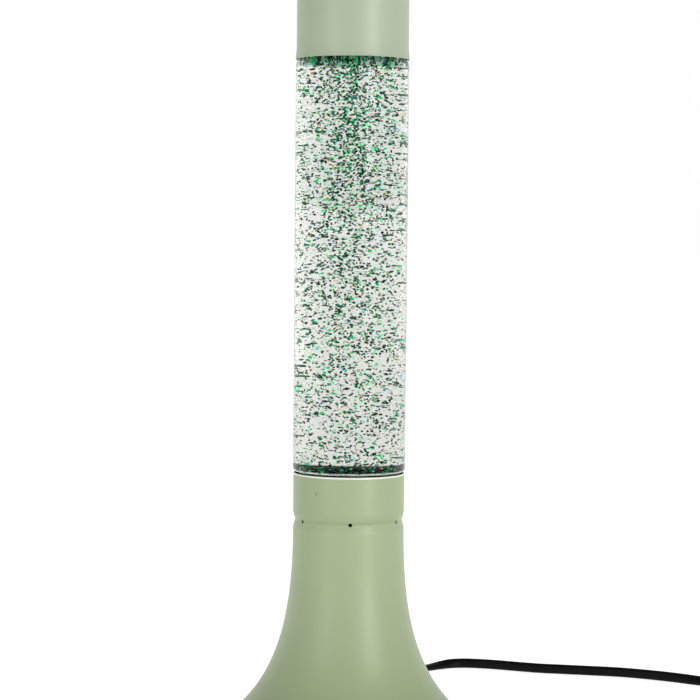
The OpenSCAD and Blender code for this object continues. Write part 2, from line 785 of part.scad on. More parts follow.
module glass_bottle() {
  edge = 1;
  finish = [
    [neck_r, mouth_z - finish_h - 1], [finish_r, mouth_z - finish_h], [finish_r, mouth_z - 1],
    [finish_r - 0.8, mouth_z], [mouth_r, mouth_z]];
  color(clear_glass)
    rotate_extrude()
      polygon(concat(
        [[0, foot_z + punt_h], [bottle_foot_r * 0.55, foot_z + punt_h * 0.7], [bottle_foot_r - 6, foot_z]],
        arc(bottle_foot_r - edge, foot_z + edge, edge, -90, 0, 5),
        arc(bottle_r - heel_r, heel_z + heel_r, heel_r, -90, 0, 8),
        shoulder(0),
        finish,
        [[mouth_r, throat_z + 1]],
        backwards(hollow(throat_z))));
}

module liquid_fill() {
  play = 0.01;
  color([0.93, 0.95, 0.93, 0.3])
    rotate_extrude()
      polygon(concat(
        hollow(liquid_top, play, bed_t),
        [[neck_r - glass_wall - play, liquid_top], [0, liquid_top]]));
}

// The flakes that have settled on the bottle's floor, as one thin bed
module glitter() {
  color([0.20, 0.62, 0.30])
    rotate_extrude() polygon(concat(bottle_floor(0.01), backwards(bottle_floor(bed_t))));
}

module crown_cap() {
  foot_r = crown_r;
  top_r = finish_r + 0.2;
  z0 = crown_top - crown_h;
  t = crown_t;
  color(steel)
    difference() {
      rotate_extrude()
        polygon([
          [finish_r + 0.2, z0 + 1.5], [foot_r - t, z0], [foot_r, z0], [top_r + 0.7, crown_top - 1.6],
          [top_r - 0.8, crown_top], [0, crown_top], [0, crown_top - t], [top_r - 1, crown_top - t],
          [finish_r + 0.2, crown_top - 1.8]]);
      for (k = [0:crown_flutes - 1])
        rotate([0, 0, 360 * k / crown_flutes]) translate([foot_r + 0.8, 0, z0 - 1])
          cylinder(r1 = 1.5, r2 = 0.9, h = crown_h - 1);
    }
}

module crown_liner() {
  color([0.85, 0.85, 0.82]) translate([0, 0, mouth_z]) cylinder(r = finish_r - 0.9, h = liner_t);
}

module cap_shell() {
  top = lamp_top - cap_dome;
  wall = cap_wall;
  turn = 84;
  color([0.68, 0.74, 0.62])
    rotate_extrude()
      polygon(concat(
        cap_side(cap_r),
        arc(cap_r - cap_round, top - cap_round, cap_round, 0, turn, 10),
        [for (i = [1:4]) let (s = 1 - i / 4) [(cap_r - cap_round) * s, lamp_top - cap_dome * s * s]],
        [for (i = [4:-1:1]) let (s = 1 - i / 4) [(cap_r - cap_round) * s, lamp_top - wall - cap_dome * s * s]],
        arc(cap_r - cap_round, top - cap_round, cap_round - wall, turn, 0, 10),
        backwards(cap_side(cap_r - wall))));
}

// ---- Free lead, switch and plug ----

module cord_to_switch() {
  color(black_plastic) lead_run(TO_SWITCH);
}

module cord_to_coil() {
  color(black_plastic) lead_run(TO_COIL);
}

module cord_to_plug() {
  color(black_plastic) lead_run(TO_PLUG);
}

module coil_ring() {
  translate([0, 0, tie_t])
    rotate_extrude() translate([coil_in_r, 0]) square([coil_out_r - coil_in_r, coil_h]);
}

module cord_coil() {
  color(black_plastic) translate([coil_x, coil_y, 0]) coil_ring();
}

module coil_tie() {
  w = 4;
  x0 = coil_in_r - tie_t;
  x1 = coil_out_r + tie_t;
  color([0.12, 0.12, 0.13])
    translate([coil_x, coil_y, 0]) rotate([0, 0, 200])
      difference() {
        translate([x0, -w / 2, 0]) cube([x1 - x0, w, coil_h + 2 * tie_t]);
        coil_ring();
      }
}

// A flat slab with round corners
module slab(l, w, r, h) {
  linear_extrude(height = h)
    union() {
      square([l - 2 * r, w], center = true);
      square([l, w - 2 * r], center = true);
      for (x = [-1, 1], y = [-1, 1]) translate([x * (l / 2 - r), y * (w / 2 - r)]) circle(r = r);
    }
}

module at_switch() {
  translate([switch_at[0], switch_at[1], 0]) rotate([0, 0, switch_turn]) children();
}

// The lead's way in and out of the switch
module switch_mouths() {
  translate([-switch_l, 0, split_z]) rotate([90, 0, 90])
    linear_extrude(height = 2 * switch_l) cord_section(eps);
}

module switch_lower() {
  wall = switch_wall;
  color(black_plastic)
    at_switch()
      difference() {
        union() {
          difference() {
            slab(switch_l, switch_w, switch_round, split_z);
            translate([0, 0, wall])
              slab(switch_l - 2 * wall, switch_w - 2 * wall, switch_round - wall, split_z);
          }
          for (s = [-1, 1]) translate([s * screw_at[0], s * screw_at[1], wall - eps]) cylinder(r = 3.4, h = 2.6);
        }
        switch_mouths();
        for (s = [-1, 1])
          translate([s * screw_at[0], s * screw_at[1], -1]) {
            cylinder(d = 2.7, h = 10);
            cylinder(d = 5, h = 3.8);
          }
      }
}

module switch_upper() {
  wall = switch_wall;
  cheek_y = rocker_w / 2 + cheek_gap;
  color(black_plastic)
    at_switch()
      difference() {
        union() {
          difference() {
            translate([0, 0, split_z]) slab(switch_l, switch_w, switch_round, switch_h - split_z);
            translate([0, 0, split_z - 1])
              slab(switch_l - 2 * wall, switch_w - 2 * wall, switch_round - wall, switch_h - split_z + 1 - wall);
          }
          for (s = [-1, 1]) {
            translate([-3, s * (cheek_y + cheek_t / 2) - cheek_t / 2, pivot_z - 2.6])
              cube([6, cheek_t, switch_h - pivot_z + 2.6 - wall + eps]);
            translate([s * screw_at[0], s * screw_at[1], split_z]) cylinder(r = 2.8, h = switch_h - split_z - 1);
          }
        }
        switch_mouths();
        translate([0, 0, switch_h]) cube([rocker_l + 1.8, rocker_w + 0.8, 2 * wall + 2 * eps], center = true);
        translate([0, 0, pivot_z]) rotate([90, 0, 0])
          cylinder(r = trunnion_r + trunnion_play, h = 2 * (cheek_y + cheek_t) + 1, center = true);
        for (s = [-1, 1])
          translate([s * screw_at[0], s * screw_at[1], split_z - 1]) cylinder(d = 2.2, h = 5);
      }
}

module switch_rocker() {
  half = rocker_l / 2;
  color([0.10, 0.10, 0.11])
    at_switch()
      translate([0, 0, pivot_z]) rotate([90, rocker_turn / 2, 0])
        union() {
          linear_extrude(height = rocker_w, center = true)
            union() {
              polygon([[-half, 5.6], [0, 4.3], [half, 5.6], [half - 0.3, 1.6], [3, -0.6], [-3, -0.6], [-half + 0.3, 1.6]]);
              circle(r = 2.4);
            }
          cylinder(r = trunnion_r, h = rocker_w + 2 * (cheek_gap + cheek_t) - 0.3, center = true);
        }
}

module switch_contacts() {
  color(brass)
    at_switch()
      for (s = [-1, 1])
        translate([s * 12.5, -4, switch_wall])
          union() {
            translate([-3, -2.5, 0]) cube([6, 5, 3.4]);
            translate([s < 0 ? 2.9 : -9, -2, 2]) cube([6.1, 4, 0.6]);
          }
}

module switch_screws() {
  color(steel)
    at_switch()
      for (s = [-1, 1])
        translate([s * screw_at[0], s * screw_at[1], 1.2]) fastener(2.2, 4.4, 1.4, 7.4);
}

// The plug's flat outline, tapering towards the lead
module plug_plan() {
  back = 6.5;
  polygon([
    [0, -plug_w / 2 + 3], [3, -plug_w / 2], [plug_face_l, -plug_w / 2], [plug_l - 5, -back - 3], [plug_l, -back],
    [plug_l, back], [plug_l - 5, back + 3], [plug_face_l, plug_w / 2], [3, plug_w / 2], [0, plug_w / 2 - 3]]);
}

// The plug's side outline, thinner towards the lead
module plug_side() {
  half = plug_t / 2;
  polygon([
    [0, -half + 1], [1, -half], [plug_face_l + 6, -half], [plug_l, -half + 2], [plug_l, half - 2],
    [plug_face_l + 6, half], [1, half], [0, half - 1]]);
}

plug_face_x = plug_x - plug_relief - plug_l;

module plug_body() {
  w = [8.6, 7];
  h = [7.4, 5];
  color(black_plastic)
    translate([0, plug_y, plug_t / 2])
      union() {
        intersection() {
          translate([plug_face_x, 0, -plug_t]) linear_extrude(height = 2 * plug_t) plug_plan();
          translate([plug_face_x, plug_w, 0]) rotate([90, 0, 0]) linear_extrude(height = 2 * plug_w) plug_side();
        }
        intersection() {
          translate([plug_x - plug_relief - 1, 0, -plug_t]) linear_extrude(height = 2 * plug_t)
            polygon([[0, -w[0] / 2], [plug_relief + 1, -w[1] / 2], [plug_relief + 1, w[1] / 2], [0, w[0] / 2]]);
          translate([plug_x - plug_relief - 1, plug_w, 0]) rotate([90, 0, 0]) linear_extrude(height = 2 * plug_w)
            polygon([[0, -h[0] / 2], [plug_relief + 1, -h[1] / 2], [plug_relief + 1, h[1] / 2], [0, h[0] / 2]]);
        }
      }
}

module plug_sleeves() {
  color([0.10, 0.10, 0.11])
    for (s = [-1, 1])
      translate([plug_face_x, plug_y + s * pin_gap / 2, plug_t / 2]) rotate([0, -90, 0])
        difference() {
          cylinder(d = pin_d - 0.6, h = pin_sleeve_l);
          translate([0, 0, -1]) cylinder(r = pin_core_r + 0.02, h = pin_sleeve_l + 2);
        }
}

module plug_pins() {
  color(steel)
    for (s = [-1, 1])
      translate([plug_face_x, plug_y + s * pin_gap / 2, plug_t / 2]) rotate([0, -90, 0])
        rotate_extrude()
          polygon([
            [0, 0], [pin_core_r, 0], [pin_core_r, pin_sleeve_l], [pin_d / 2, pin_sleeve_l], [pin_d / 2, pin_l - 1.5],
            [pin_d / 2 - 0.5, pin_l - 0.4], [pin_d / 2 - 1.2, pin_l], [0, pin_l]]);
}

base_shell();
base_plate();
plate_screws();
for (k = [1:4]) foot(k);
holder_bracket();
bracket_rivets();
holder_nipple();
nipple_nut();
lock_washer();
holder_cup();
contact_block();
terminal_screws();
centre_contact();
thread_sleeve();
holder_sleeve();
brown_lead();
blue_lead();
cord_bushing();
cord_inner();
cord_clamp();
clamp_screws();
bulb_contact();
bulb_insulator();
bulb_cap();
bulb_glass();
bulb_stem();
bulb_filament();
glass_bottle();
liquid_fill();
glitter();
crown_cap();
crown_liner();
cap_shell();
cord_to_switch();
switch_lower();
switch_upper();
switch_rocker();
switch_contacts();
switch_screws();
cord_to_coil();
cord_coil();
coil_tie();
cord_to_plug();
plug_body();
plug_sleeves();
plug_pins();
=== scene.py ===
# %% [markdown]
# # A glitter lamp, piece by piece
# The lamp is a straight glass bottle of clear fluid and green flakes. It stands in a flared base of
# painted aluminium over a small reflector bulb, and a painted cap hides the bottle's neck. A flat
# black lead runs from the back of the base through a switch to a plug.
# The solid model gives every place and size in metres. This script adds what a solid model lacks:
# smooth spun skins, a lead with real turns, loose flakes, and a finish for each material.

# %% Load the solid model as the frame
import json
from math import acos, copysign, cos, degrees, exp, hypot, pi, radians, sin, sqrt

import bmesh
import bpy
import numpy as np
from mathutils import Matrix, Vector


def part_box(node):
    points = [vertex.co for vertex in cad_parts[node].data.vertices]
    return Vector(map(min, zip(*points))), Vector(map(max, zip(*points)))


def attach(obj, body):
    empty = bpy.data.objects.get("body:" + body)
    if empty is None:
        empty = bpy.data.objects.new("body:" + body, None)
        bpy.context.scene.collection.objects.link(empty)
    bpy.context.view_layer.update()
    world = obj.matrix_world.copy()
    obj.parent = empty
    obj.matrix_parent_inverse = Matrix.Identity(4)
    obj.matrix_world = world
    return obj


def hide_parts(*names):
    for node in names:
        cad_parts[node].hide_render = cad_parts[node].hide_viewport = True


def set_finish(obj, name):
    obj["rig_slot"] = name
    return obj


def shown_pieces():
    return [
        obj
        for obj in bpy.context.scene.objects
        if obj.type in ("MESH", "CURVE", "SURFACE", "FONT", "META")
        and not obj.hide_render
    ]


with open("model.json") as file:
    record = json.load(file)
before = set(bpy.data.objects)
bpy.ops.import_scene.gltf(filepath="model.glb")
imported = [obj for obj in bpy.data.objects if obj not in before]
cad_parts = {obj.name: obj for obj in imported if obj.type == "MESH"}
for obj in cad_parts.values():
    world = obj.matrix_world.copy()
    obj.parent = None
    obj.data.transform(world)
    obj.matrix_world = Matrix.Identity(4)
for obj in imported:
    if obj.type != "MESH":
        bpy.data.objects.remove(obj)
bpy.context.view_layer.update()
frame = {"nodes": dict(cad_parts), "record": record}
MM = 0.001

# %% [markdown]
# Pieces are measured from the solid model's own boxes, so that a change of size there is followed
# here. These helpers read a node's box in millimetres.


# %% Read a node's box
def low(node, axis):
    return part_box(node)[0][axis] / MM


def high(node, axis):
    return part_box(node)[1][axis] / MM


def middle(node, axis):
    return (low(node, axis) + high(node, axis)) / 2


BASE_TOP, BASE_R = high("base_shell", 2), high("base_shell", 0)
CAP_LOW, LAMP_TOP = low("cap_shell", 2), high("cap_shell", 2)
print(f"base top {BASE_TOP:.2f}, cap from {CAP_LOW:.2f} to {LAMP_TOP:.2f} mm")

# %% [markdown]
# An object only counts once it is in the scene, so one helper makes it and puts it there: the camera
# first, then pieces, cutting tools, the floor and the lights.


# %% Put an object into the scene
scene = bpy.context.scene


def placed(name, data):
    made = bpy.data.objects.new(name, data)
    scene.collection.objects.link(made)
    return made


# %% [markdown]
# ## Camera
# A long lens a little over a metre away looks at the lamp from about half way up the glass and
# tips down slightly. A long lens keeps the upright glass upright. The camera leans by half a degree
# about its own line of sight, as a hand-held one does.

# %% Place the camera
SENSOR, VIEW_WIDTH, FOCAL_LENGTH = 36, 700, 2280
CAMERA_AT = (0, -1.213, 0.2628)
TIP_DOWN = radians(2.81)
LEAN = 0.0093

camera = placed("camera", bpy.data.cameras.new("camera"))
camera.data.sensor_width = SENSOR
camera.data.lens = SENSOR * (FOCAL_LENGTH / VIEW_WIDTH)
camera.data.clip_end = 50
aim = Matrix.Rotation(pi / 2 - TIP_DOWN, 4, "X") @ Matrix.Rotation(LEAN, 4, "Z")
camera.matrix_world = Matrix.Translation(CAMERA_AT) @ aim
scene.camera = camera
print(f"camera lens {camera.data.lens:.1f} mm")

# %% [markdown]
# ## How a piece is made
# Every new piece is a mesh that rides on one moving body of the solid model, takes the finish of
# one of its material slots, and stands for one or more of its solids. Skins are shaded smooth, and
# an edge sharper than the crisp angle stays crisp. Only the flakes stay flat.


# %% Turn a mesh into a piece
def piece(name, mesh, body, slot, *nodes, crisp=35):
    mesh.name = name
    if crisp:
        mesh.polygons.foreach_set("use_smooth", np.ones(len(mesh.polygons), dtype=bool))
        mesh.set_sharp_from_angle(angle=radians(crisp))
    made = placed(name, mesh)
    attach(made, body)
    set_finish(made, slot)
    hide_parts(*nodes)
    print(f"{name}: {len(mesh.vertices)} points, rides on {body}")
    return made


WELD = 1e-7


def made_mesh(work):
    """The mesh that a bmesh holds. The bmesh itself goes."""
    mesh = bpy.data.meshes.new("mesh")
    work.to_mesh(mesh)
    work.free()
    return mesh


def meshed(points, faces):
    work = bmesh.new()
    made = [work.verts.new(p) for p in points]
    for face in faces:
        work.faces.new([made[k] for k in face])
    bmesh.ops.remove_doubles(work, verts=work.verts, dist=WELD)
    bmesh.ops.dissolve_degenerate(work, edges=work.edges, dist=WELD)
    bmesh.ops.recalc_face_normals(work, faces=work.faces)
    return made_mesh(work)


# %% [markdown]
# Two ways of making a skin do most of the work. A stack of rings is skinned from one to the next
# and closed at both ends: that makes the lead, the switch, the ribs and the drills. An outline spun
# about the upright axis makes everything that a spinning lathe or a glass mould makes.


# %% Skin a stack of rings, and spin an outline
def whole_turn(sides, offset=0.0):
    """Evenly spaced angles once round."""
    return [2 * pi * (k + offset) / sides for k in range(sides)]


def band(n, i, j):
    """The faces between the i-th and the j-th ring of n points."""
    return [(i * n + k, j * n + k, j * n + (k + 1) % n, i * n + (k + 1) % n) for k in range(n)]


def stack(rings):
    points = np.concatenate([np.array(r, float) for r in rings]) * MM
    n, last = len(rings[0]), len(rings) - 1
    faces = [face for i in range(last) for face in band(n, i, i + 1)]
    faces += [tuple(range(n)), tuple(last * n + k for k in reversed(range(n)))]
    return meshed(points, faces)


def spun(outline, sides):
    outline = np.array(outline, float) * MM
    points = [(r * cos(a), r * sin(a), z) for a in whole_turn(sides) for r, z in outline]
    n = len(outline)
    faces = [
        face for a in range(sides) for k, face in enumerate(band(n, a, (a + 1) % sides))
        if outline[k][0] > 0 or outline[(k + 1) % n][0] > 0
    ]
    return meshed(points, faces)


# %% [markdown]
# ## The lead
# A flat two-core lead is 5.8 mm wide and 3.4 mm thick, with round edges. It can't be a curve with a
# round bevel, so its section is swept by hand along a route. Each point of the route has a place,
# a twist of the section, and the height of the lead above what it rests on. A flat lead only bends
# easily across its thin way, so it rolls onto its edge before a tight bend in the plane of the table.
# The route is smoothed by a curve through its points.

# %% Set out the lead's section and its smooth route
LEAD_WIDE, LEAD_THICK = 5.8, 3.4
LEAD_STEP = 2.0


def obround(wide, thick, sides=20):
    """Points round a flat section with half-round ends, as (across, up)."""
    straight = (wide - thick) / 2
    turn = whole_turn(sides, 0.5)
    return [(copysign(straight, cos(a)) + thick / 2 * cos(a), thick / 2 * sin(a)) for a in turn]


def resting_height(twist):
    return LEAD_THICK / 2 + (LEAD_WIDE - LEAD_THICK) / 2 * abs(sin(radians(twist)))


def smooth_route(route):
    """Places and twists every LEAD_STEP millimetres along a curve through the route's points."""
    route = np.array(route, float)
    full = np.vstack([2 * route[0] - route[1], route, 2 * route[-1] - route[-2]])
    places = []
    for a, b, c, d in zip(full, full[1:], full[2:], full[3:]):
        count = max(1, round(float(np.hypot(*(c - b)[:2])) / LEAD_STEP))
        for t in np.arange(count) / count:
            bend, twirl = 2 * a - 5 * b + 4 * c - d, 3 * b - a - 3 * c + d
            places.append(0.5 * (2 * b + (c - a) * t + bend * t**2 + twirl * t**3))
    places.append(full[-2])
    return [((x, y, resting_height(twist) + lift), twist) for x, y, twist, lift in places]


def headings(path):
    path = np.array(path, float)
    along = np.gradient(path, axis=0)
    return along / np.linalg.norm(along, axis=1)[:, None]


def swept(run, section):
    """The section carried along a run of places and twists."""
    rings = []
    for (place, twist), along in zip(run, headings([p for p, _ in run])):
        across = np.cross((0, 0, 1), along)
        across /= np.linalg.norm(across)
        up = np.cross(along, across)
        c, s = cos(radians(twist)), sin(radians(twist))
        rings.append([np.array(place) + (u * c - v * s) * across + (u * s + v * c) * up for u, v in section])
    return stack(rings)


def run_length(run):
    path = np.array([p for p, _ in run])
    return float(np.linalg.norm(np.diff(path, axis=0), axis=1).sum()) * MM


print(f"lead on its edge rests {resting_height(90):.1f} mm up")

# %% [markdown]
# From the base the lead drops to the table, curves away behind the lamp and comes forward to the
# switch. Beyond the switch the rest is put away, wound on its edge in two layers of a flat coil,
# with the plug beside it. The first layer winds inwards on the table, a short ramp climbs inside
# the coil, and the second layer winds outwards on top of the first.

# %% Lay out the two runs of the lead
TO_SWITCH = [
    (0, 92.7, 0, 5.3), (1, 102, 0, 4.8), (3, 112, 0, 3.2), (7, 122, 0, 1.4), (12, 131, 0, 0.3),
    (19, 140, 0, 0), (28, 149, 0, 0), (39, 158, 0, 0), (50, 166, 5, 0), (57, 171, 30, 0),
    (64, 174.5, 60, 0), (72, 175.5, 80, 0), (82, 174, 90, 0), (93, 170.5, 90, 0),
    (105, 165.5, 90, 0), (117, 161, 90, 0), (129, 158.5, 90, 0), (141, 156, 90, 0),
    (153, 153.5, 90, 0), (165, 150.5, 90, 0), (176, 146, 90, 0), (187, 140.5, 85, 0),
    (198, 134, 75, 0), (208, 127.5, 60, 0), (217, 120.5, 45, 0.5), (226, 113, 25, 1.8),
    (233, 107, 10, 3.6), (240, 100, 0, 4.8), (242, 98, 0, 4.8),
]
TO_COIL = [
    (279, 61, 0, 4.8), (281, 59, 0, 4.8), (286, 54, 10, 4.2), (291, 49, 30, 3), (296, 44, 50, 2),
    (301, 39, 70, 1.2), (306, 34, 85, 0.7),
]
TO_PLUG = [
    (281, -36, 88, 6.3), (275, -36, 80, 6), (268, -36, 60, 5.6), (260, -36, 30, 5.3),
    (253, -36, 10, 5.2), (246, -36, 0, 5.15),
]
coil_x, coil_y = middle("cord_coil", 0), middle("cord_coil", 1)
OUTER_TURN, INNER_TURN = 37, 27
TIE_THICK = 0.6
FIRST_ANGLE, INWARDS, OUTWARDS = 45, 990, 945
RAMP, RAMP_ASIDE = 75, 1.0
COIL_STEP_ANGLE = 5


def coil_point(turned):
    """One point of the coil after that many degrees, clockwise seen from above."""
    low_z = TIE_THICK + resting_height(90)
    climb = min(max((turned - INWARDS + RAMP) / RAMP, 0), 1)
    eased = climb * climb * (3 - 2 * climb)
    radius = np.interp(turned, (0, INWARDS, INWARDS + OUTWARDS), (OUTER_TURN, INNER_TURN, OUTER_TURN))
    radius -= RAMP_ASIDE * sin(pi * climb)
    a = radians(FIRST_ANGLE - turned)
    return (coil_x + radius * cos(a), coil_y + radius * sin(a), low_z + LEAD_WIDE * eased), 90


first_run = smooth_route(TO_SWITCH)
coil_run = [coil_point(t) for t in np.arange(0, INWARDS + OUTWARDS + 0.1, COIL_STEP_ANGLE)]
second_run = smooth_route(TO_COIL) + coil_run + smooth_route(TO_PLUG)
print(f"lead: {run_length(first_run):.3f} m to the switch, {run_length(second_run):.3f} m beyond it")

# %% Sweep the lead along both runs
LEAD_SECTION = obround(LEAD_WIDE, LEAD_THICK)
lead_to_switch = piece(
    "lead_to_switch", swept(first_run, LEAD_SECTION), "base", "black_pvc", "cord_to_switch", crisp=50)
lead_to_plug = piece(
    "lead_to_plug", swept(second_run, LEAD_SECTION), "base", "black_pvc",
    "cord_to_coil", "cord_coil", "cord_to_plug", crisp=50)

# %% [markdown]
# Where the lead enters the base and the plug, a tapered sleeve keeps it from kinking. Moulders cut
# such sleeves into ribs so that they bend in an even curve. The tapered body comes from the solid
# model with its edges softened, and the ribs are raised bands of the same section round it.


# %% Soften the edges of a solid, and band a sleeve with ribs
def softened(node, edge, crisp=40):
    """A copy of a node's mesh with its sharp edges rounded off by edge millimetres."""
    work = bmesh.new()
    work.from_mesh(frame["nodes"][node].data)
    bmesh.ops.remove_doubles(work, verts=work.verts, dist=2e-6)
    bmesh.ops.dissolve_limit(work, angle_limit=radians(0.6), verts=work.verts, edges=work.edges)
    work.verts.index_update()
    points = [v.co[:] for v in work.verts]
    faces = [[v.index for v in f.verts] for f in work.faces]
    work.free()
    mesh = bpy.data.meshes.new(node)
    mesh.from_pydata(points, [], faces)
    return rounded(mesh, edge, crisp)


def rounded(mesh, edge, crisp, segments=3):
    holder = placed("holder", mesh)
    bevel = holder.modifiers.new("edges", "BEVEL")
    bevel.width, bevel.segments = edge * MM, segments
    bevel.limit_method, bevel.angle_limit = "ANGLE", radians(crisp)
    bevel.use_clamp_overlap = True
    return applied(holder)


def applied(holder):
    """The mesh that an object's modifiers make of it. The object itself goes."""
    ready = holder.evaluated_get(bpy.context.evaluated_depsgraph_get())
    mesh = bpy.data.meshes.new_from_object(ready)
    bpy.data.objects.remove(holder)
    return mesh


FIRST_RIB, RIB_PITCH, RIB_LONG, RIB_PROUD = 2.5, 3.0, 1.5, 0.45
RIB_OUTLINE = [(0, -0.5), (0, 0.2), (0.3, 1), (RIB_LONG - 0.3, 1), (RIB_LONG, 0.2), (RIB_LONG, -0.5)]


def ribs(start, heading, length, wide, tall, count):
    """Raised bands round a sleeve that tapers from the first to the second width and height."""
    side = np.cross((0, 0, 1), heading)
    parts = []
    for k in range(count):
        at = FIRST_RIB + k * RIB_PITCH
        share = at / length
        w = wide[0] + (wide[1] - wide[0]) * share
        t = tall[0] + (tall[1] - tall[0]) * share
        rings = []
        for along, proud in RIB_OUTLINE:
            grow = 2 * RIB_PROUD * proud
            centre = np.array(start) + (at + along) * np.array(heading)
            rings.append([centre + u * side + v * np.array((0, 0, 1)) for u, v in obround(w + grow, t + grow)])
        parts.append(stack(rings))
    return parts


def joined(parts):
    """Several meshes as one."""
    work = bmesh.new()
    for part in parts:
        work.from_mesh(part)
        bpy.data.meshes.remove(part)
    return made_mesh(work)


def ribbed(name, node, edge, *sleeve):
    """A solid with soft edges and the ribs of its sleeve."""
    return piece(name, joined([softened(node, edge)] + ribs(*sleeve)), "base", "black_pvc", node, crisp=40)


# %% Make the sleeve at the base and the plug
BUSHING_SLEEVE, PLUG_SLEEVE = 25, 22
bushing_from = (0, high("cord_bushing", 1) - BUSHING_SLEEVE, first_run[0][0][2])
bushing = ribbed(
    "entry_bushing", "cord_bushing", 0.45, bushing_from, (0, 1, 0), BUSHING_SLEEVE, (9.2, 7.4), (6.8, 5.0), 7)
plug_from = (high("plug_body", 0) - PLUG_SLEEVE, middle("plug_body", 1), middle("plug_body", 2))
plug = ribbed("plug_moulding", "plug_body", 1.0, plug_from, (1, 0, 0), PLUG_SLEEVE, (8.6, 7.0), (7.4, 5.0), 6)

# %% [markdown]
# ## The switch in the lead
# The switch is two moulded shells that meet on a seam, held by two screws from below, with a rocker
# in a window on top. Each shell is a stack of rounded rectangles: it starts inside at the middle,
# goes out and round the seam, and comes back to the middle outside, which gives it a real wall.
# The window, the mouths for the lead and the recesses for the screws are cut out afterwards.

# %% Set out the switch
SWITCH_TURN = radians(-45)
switch_x, switch_y = middle("switch_lower", 0), middle("switch_lower", 1)
SEAM_Z = high("switch_lower", 2)
SWITCH_TOP = high("switch_upper", 2)
SWITCH_LONG, SWITCH_WIDE, SWITCH_CORNER, SWITCH_WALL = 58, 24, 6, 1.6
AT_SWITCH = Matrix.Translation((switch_x * MM, switch_y * MM, 0)) @ Matrix.Rotation(SWITCH_TURN, 4, "Z")


def rounded_rectangle(long, wide, corner, steps=8):
    corner = max(corner, 0.3)
    points = []
    for quarter, (sx, sy) in enumerate(((1, 1), (-1, 1), (-1, -1), (1, -1))):
        for k in range(steps + 1):
            a = pi / 2 * (quarter + k / steps)
            points.append((
                sx * (long / 2 - corner) + corner * cos(a), sy * (wide / 2 - corner) + corner * sin(a)))
    return points


def at_switch(mesh):
    mesh.transform(AT_SWITCH)
    return mesh


def shell(levels):
    """A stack of switch outlines, each drawn in from the full size by inset at height z."""
    rings = []
    for inset, z in levels:
        outline = rounded_rectangle(SWITCH_LONG - 2 * inset, SWITCH_WIDE - 2 * inset, SWITCH_CORNER - inset)
        rings.append([(*p, z) for p in outline])
    return at_switch(stack(rings))


def cut(mesh, cutters):
    """The mesh less each of the cutters."""
    holder = placed("holder", mesh)
    tools = [placed("cutter", cutter) for cutter in cutters]
    for tool in tools:
        less = holder.modifiers.new("cut", "BOOLEAN")
        less.operation, less.solver, less.object = "DIFFERENCE", "EXACT", tool
    made = applied(holder)
    for tool in tools:
        bpy.data.objects.remove(tool)
    return made


def fillet(inset, z, radius, up, steps=6):
    """Insets and heights round an outer edge that turns from a wall into a flat."""
    side = 1 if up else -1
    return [
        (inset + radius * (1 - cos(a)), z + side * radius * (sin(a) - 1))
        for a in (pi / 2 * k / steps for k in range(steps + 1))
    ]


print(f"switch at {switch_x:.1f}, {switch_y:.1f}, seam {SEAM_Z:.1f}, top {SWITCH_TOP:.1f} mm")


# %% Mould the two shells and cut their openings
WINDOW_LONG, WINDOW_WIDE, WINDOW_CORNER = 21.4, 11.8, 0.6
MOUTH_FROM, MOUTH_TO, MOUTH_PLAY = 24, 32, 0.3


def window():
    outline = rounded_rectangle(WINDOW_LONG, WINDOW_WIDE, WINDOW_CORNER, 3)
    return at_switch(stack([[(*p, z) for p in outline] for z in (SWITCH_TOP - 3, SWITCH_TOP + 2)]))


def rod(radius, z0, z1, x, y, sides=24):
    circle = [(x + radius * cos(a), y + radius * sin(a)) for a in whole_turn(sides)]
    return stack([[(*p, z) for p in circle] for z in (z0, z1)])


def mouth(side):
    opening = obround(LEAD_WIDE + MOUTH_PLAY, LEAD_THICK + MOUTH_PLAY)
    return at_switch(stack([[(side * x, u, SEAM_Z + v) for u, v in opening] for x in (MOUTH_FROM, MOUTH_TO)]))


MIDDLE = 11.0
SEAM_GROOVE = 0.3
upper_levels = (
    [(MIDDLE, SWITCH_TOP - SWITCH_WALL), (SWITCH_WALL + 1, SWITCH_TOP - SWITCH_WALL),
     (SWITCH_WALL, SWITCH_TOP - SWITCH_WALL - 1), (SWITCH_WALL, SEAM_Z),
     (SEAM_GROOVE, SEAM_Z), (SEAM_GROOVE, SEAM_Z + 0.3), (0, SEAM_Z + 0.5)]
    + fillet(0, SWITCH_TOP, 2.2, True) + [(MIDDLE, SWITCH_TOP)]
)
lower_levels = (
    [(MIDDLE, SWITCH_WALL), (SWITCH_WALL + 1, SWITCH_WALL), (SWITCH_WALL, SWITCH_WALL + 1),
     (SWITCH_WALL, SEAM_Z), (SEAM_GROOVE, SEAM_Z), (SEAM_GROOVE, SEAM_Z - 0.3), (0, SEAM_Z - 0.5)]
    + fillet(0, 0, 1.4, False) + [(MIDDLE, 0)]
)
SCREW_X, SCREW_Y, SUNK_R, SUNK_DEEP = 21, 8, 2.5, 3.0
sunk = [at_switch(rod(SUNK_R, -1, SUNK_DEEP, side * SCREW_X, side * SCREW_Y)) for side in (-1, 1)]
upper_shell = cut(shell(upper_levels), [window(), mouth(1), mouth(-1)])
lower_shell = cut(shell(lower_levels), sunk + [mouth(1), mouth(-1)])
switch_top = piece("switch_top_shell", upper_shell, "base", "switch_plastic", "switch_upper")
switch_bottom = piece("switch_bottom_shell", lower_shell, "base", "switch_plastic", "switch_lower")
rocker = piece(
    "switch_rocker_key", softened("switch_rocker", 0.35, 20), "rocker", "switch_plastic", "switch_rocker", crisp=40)
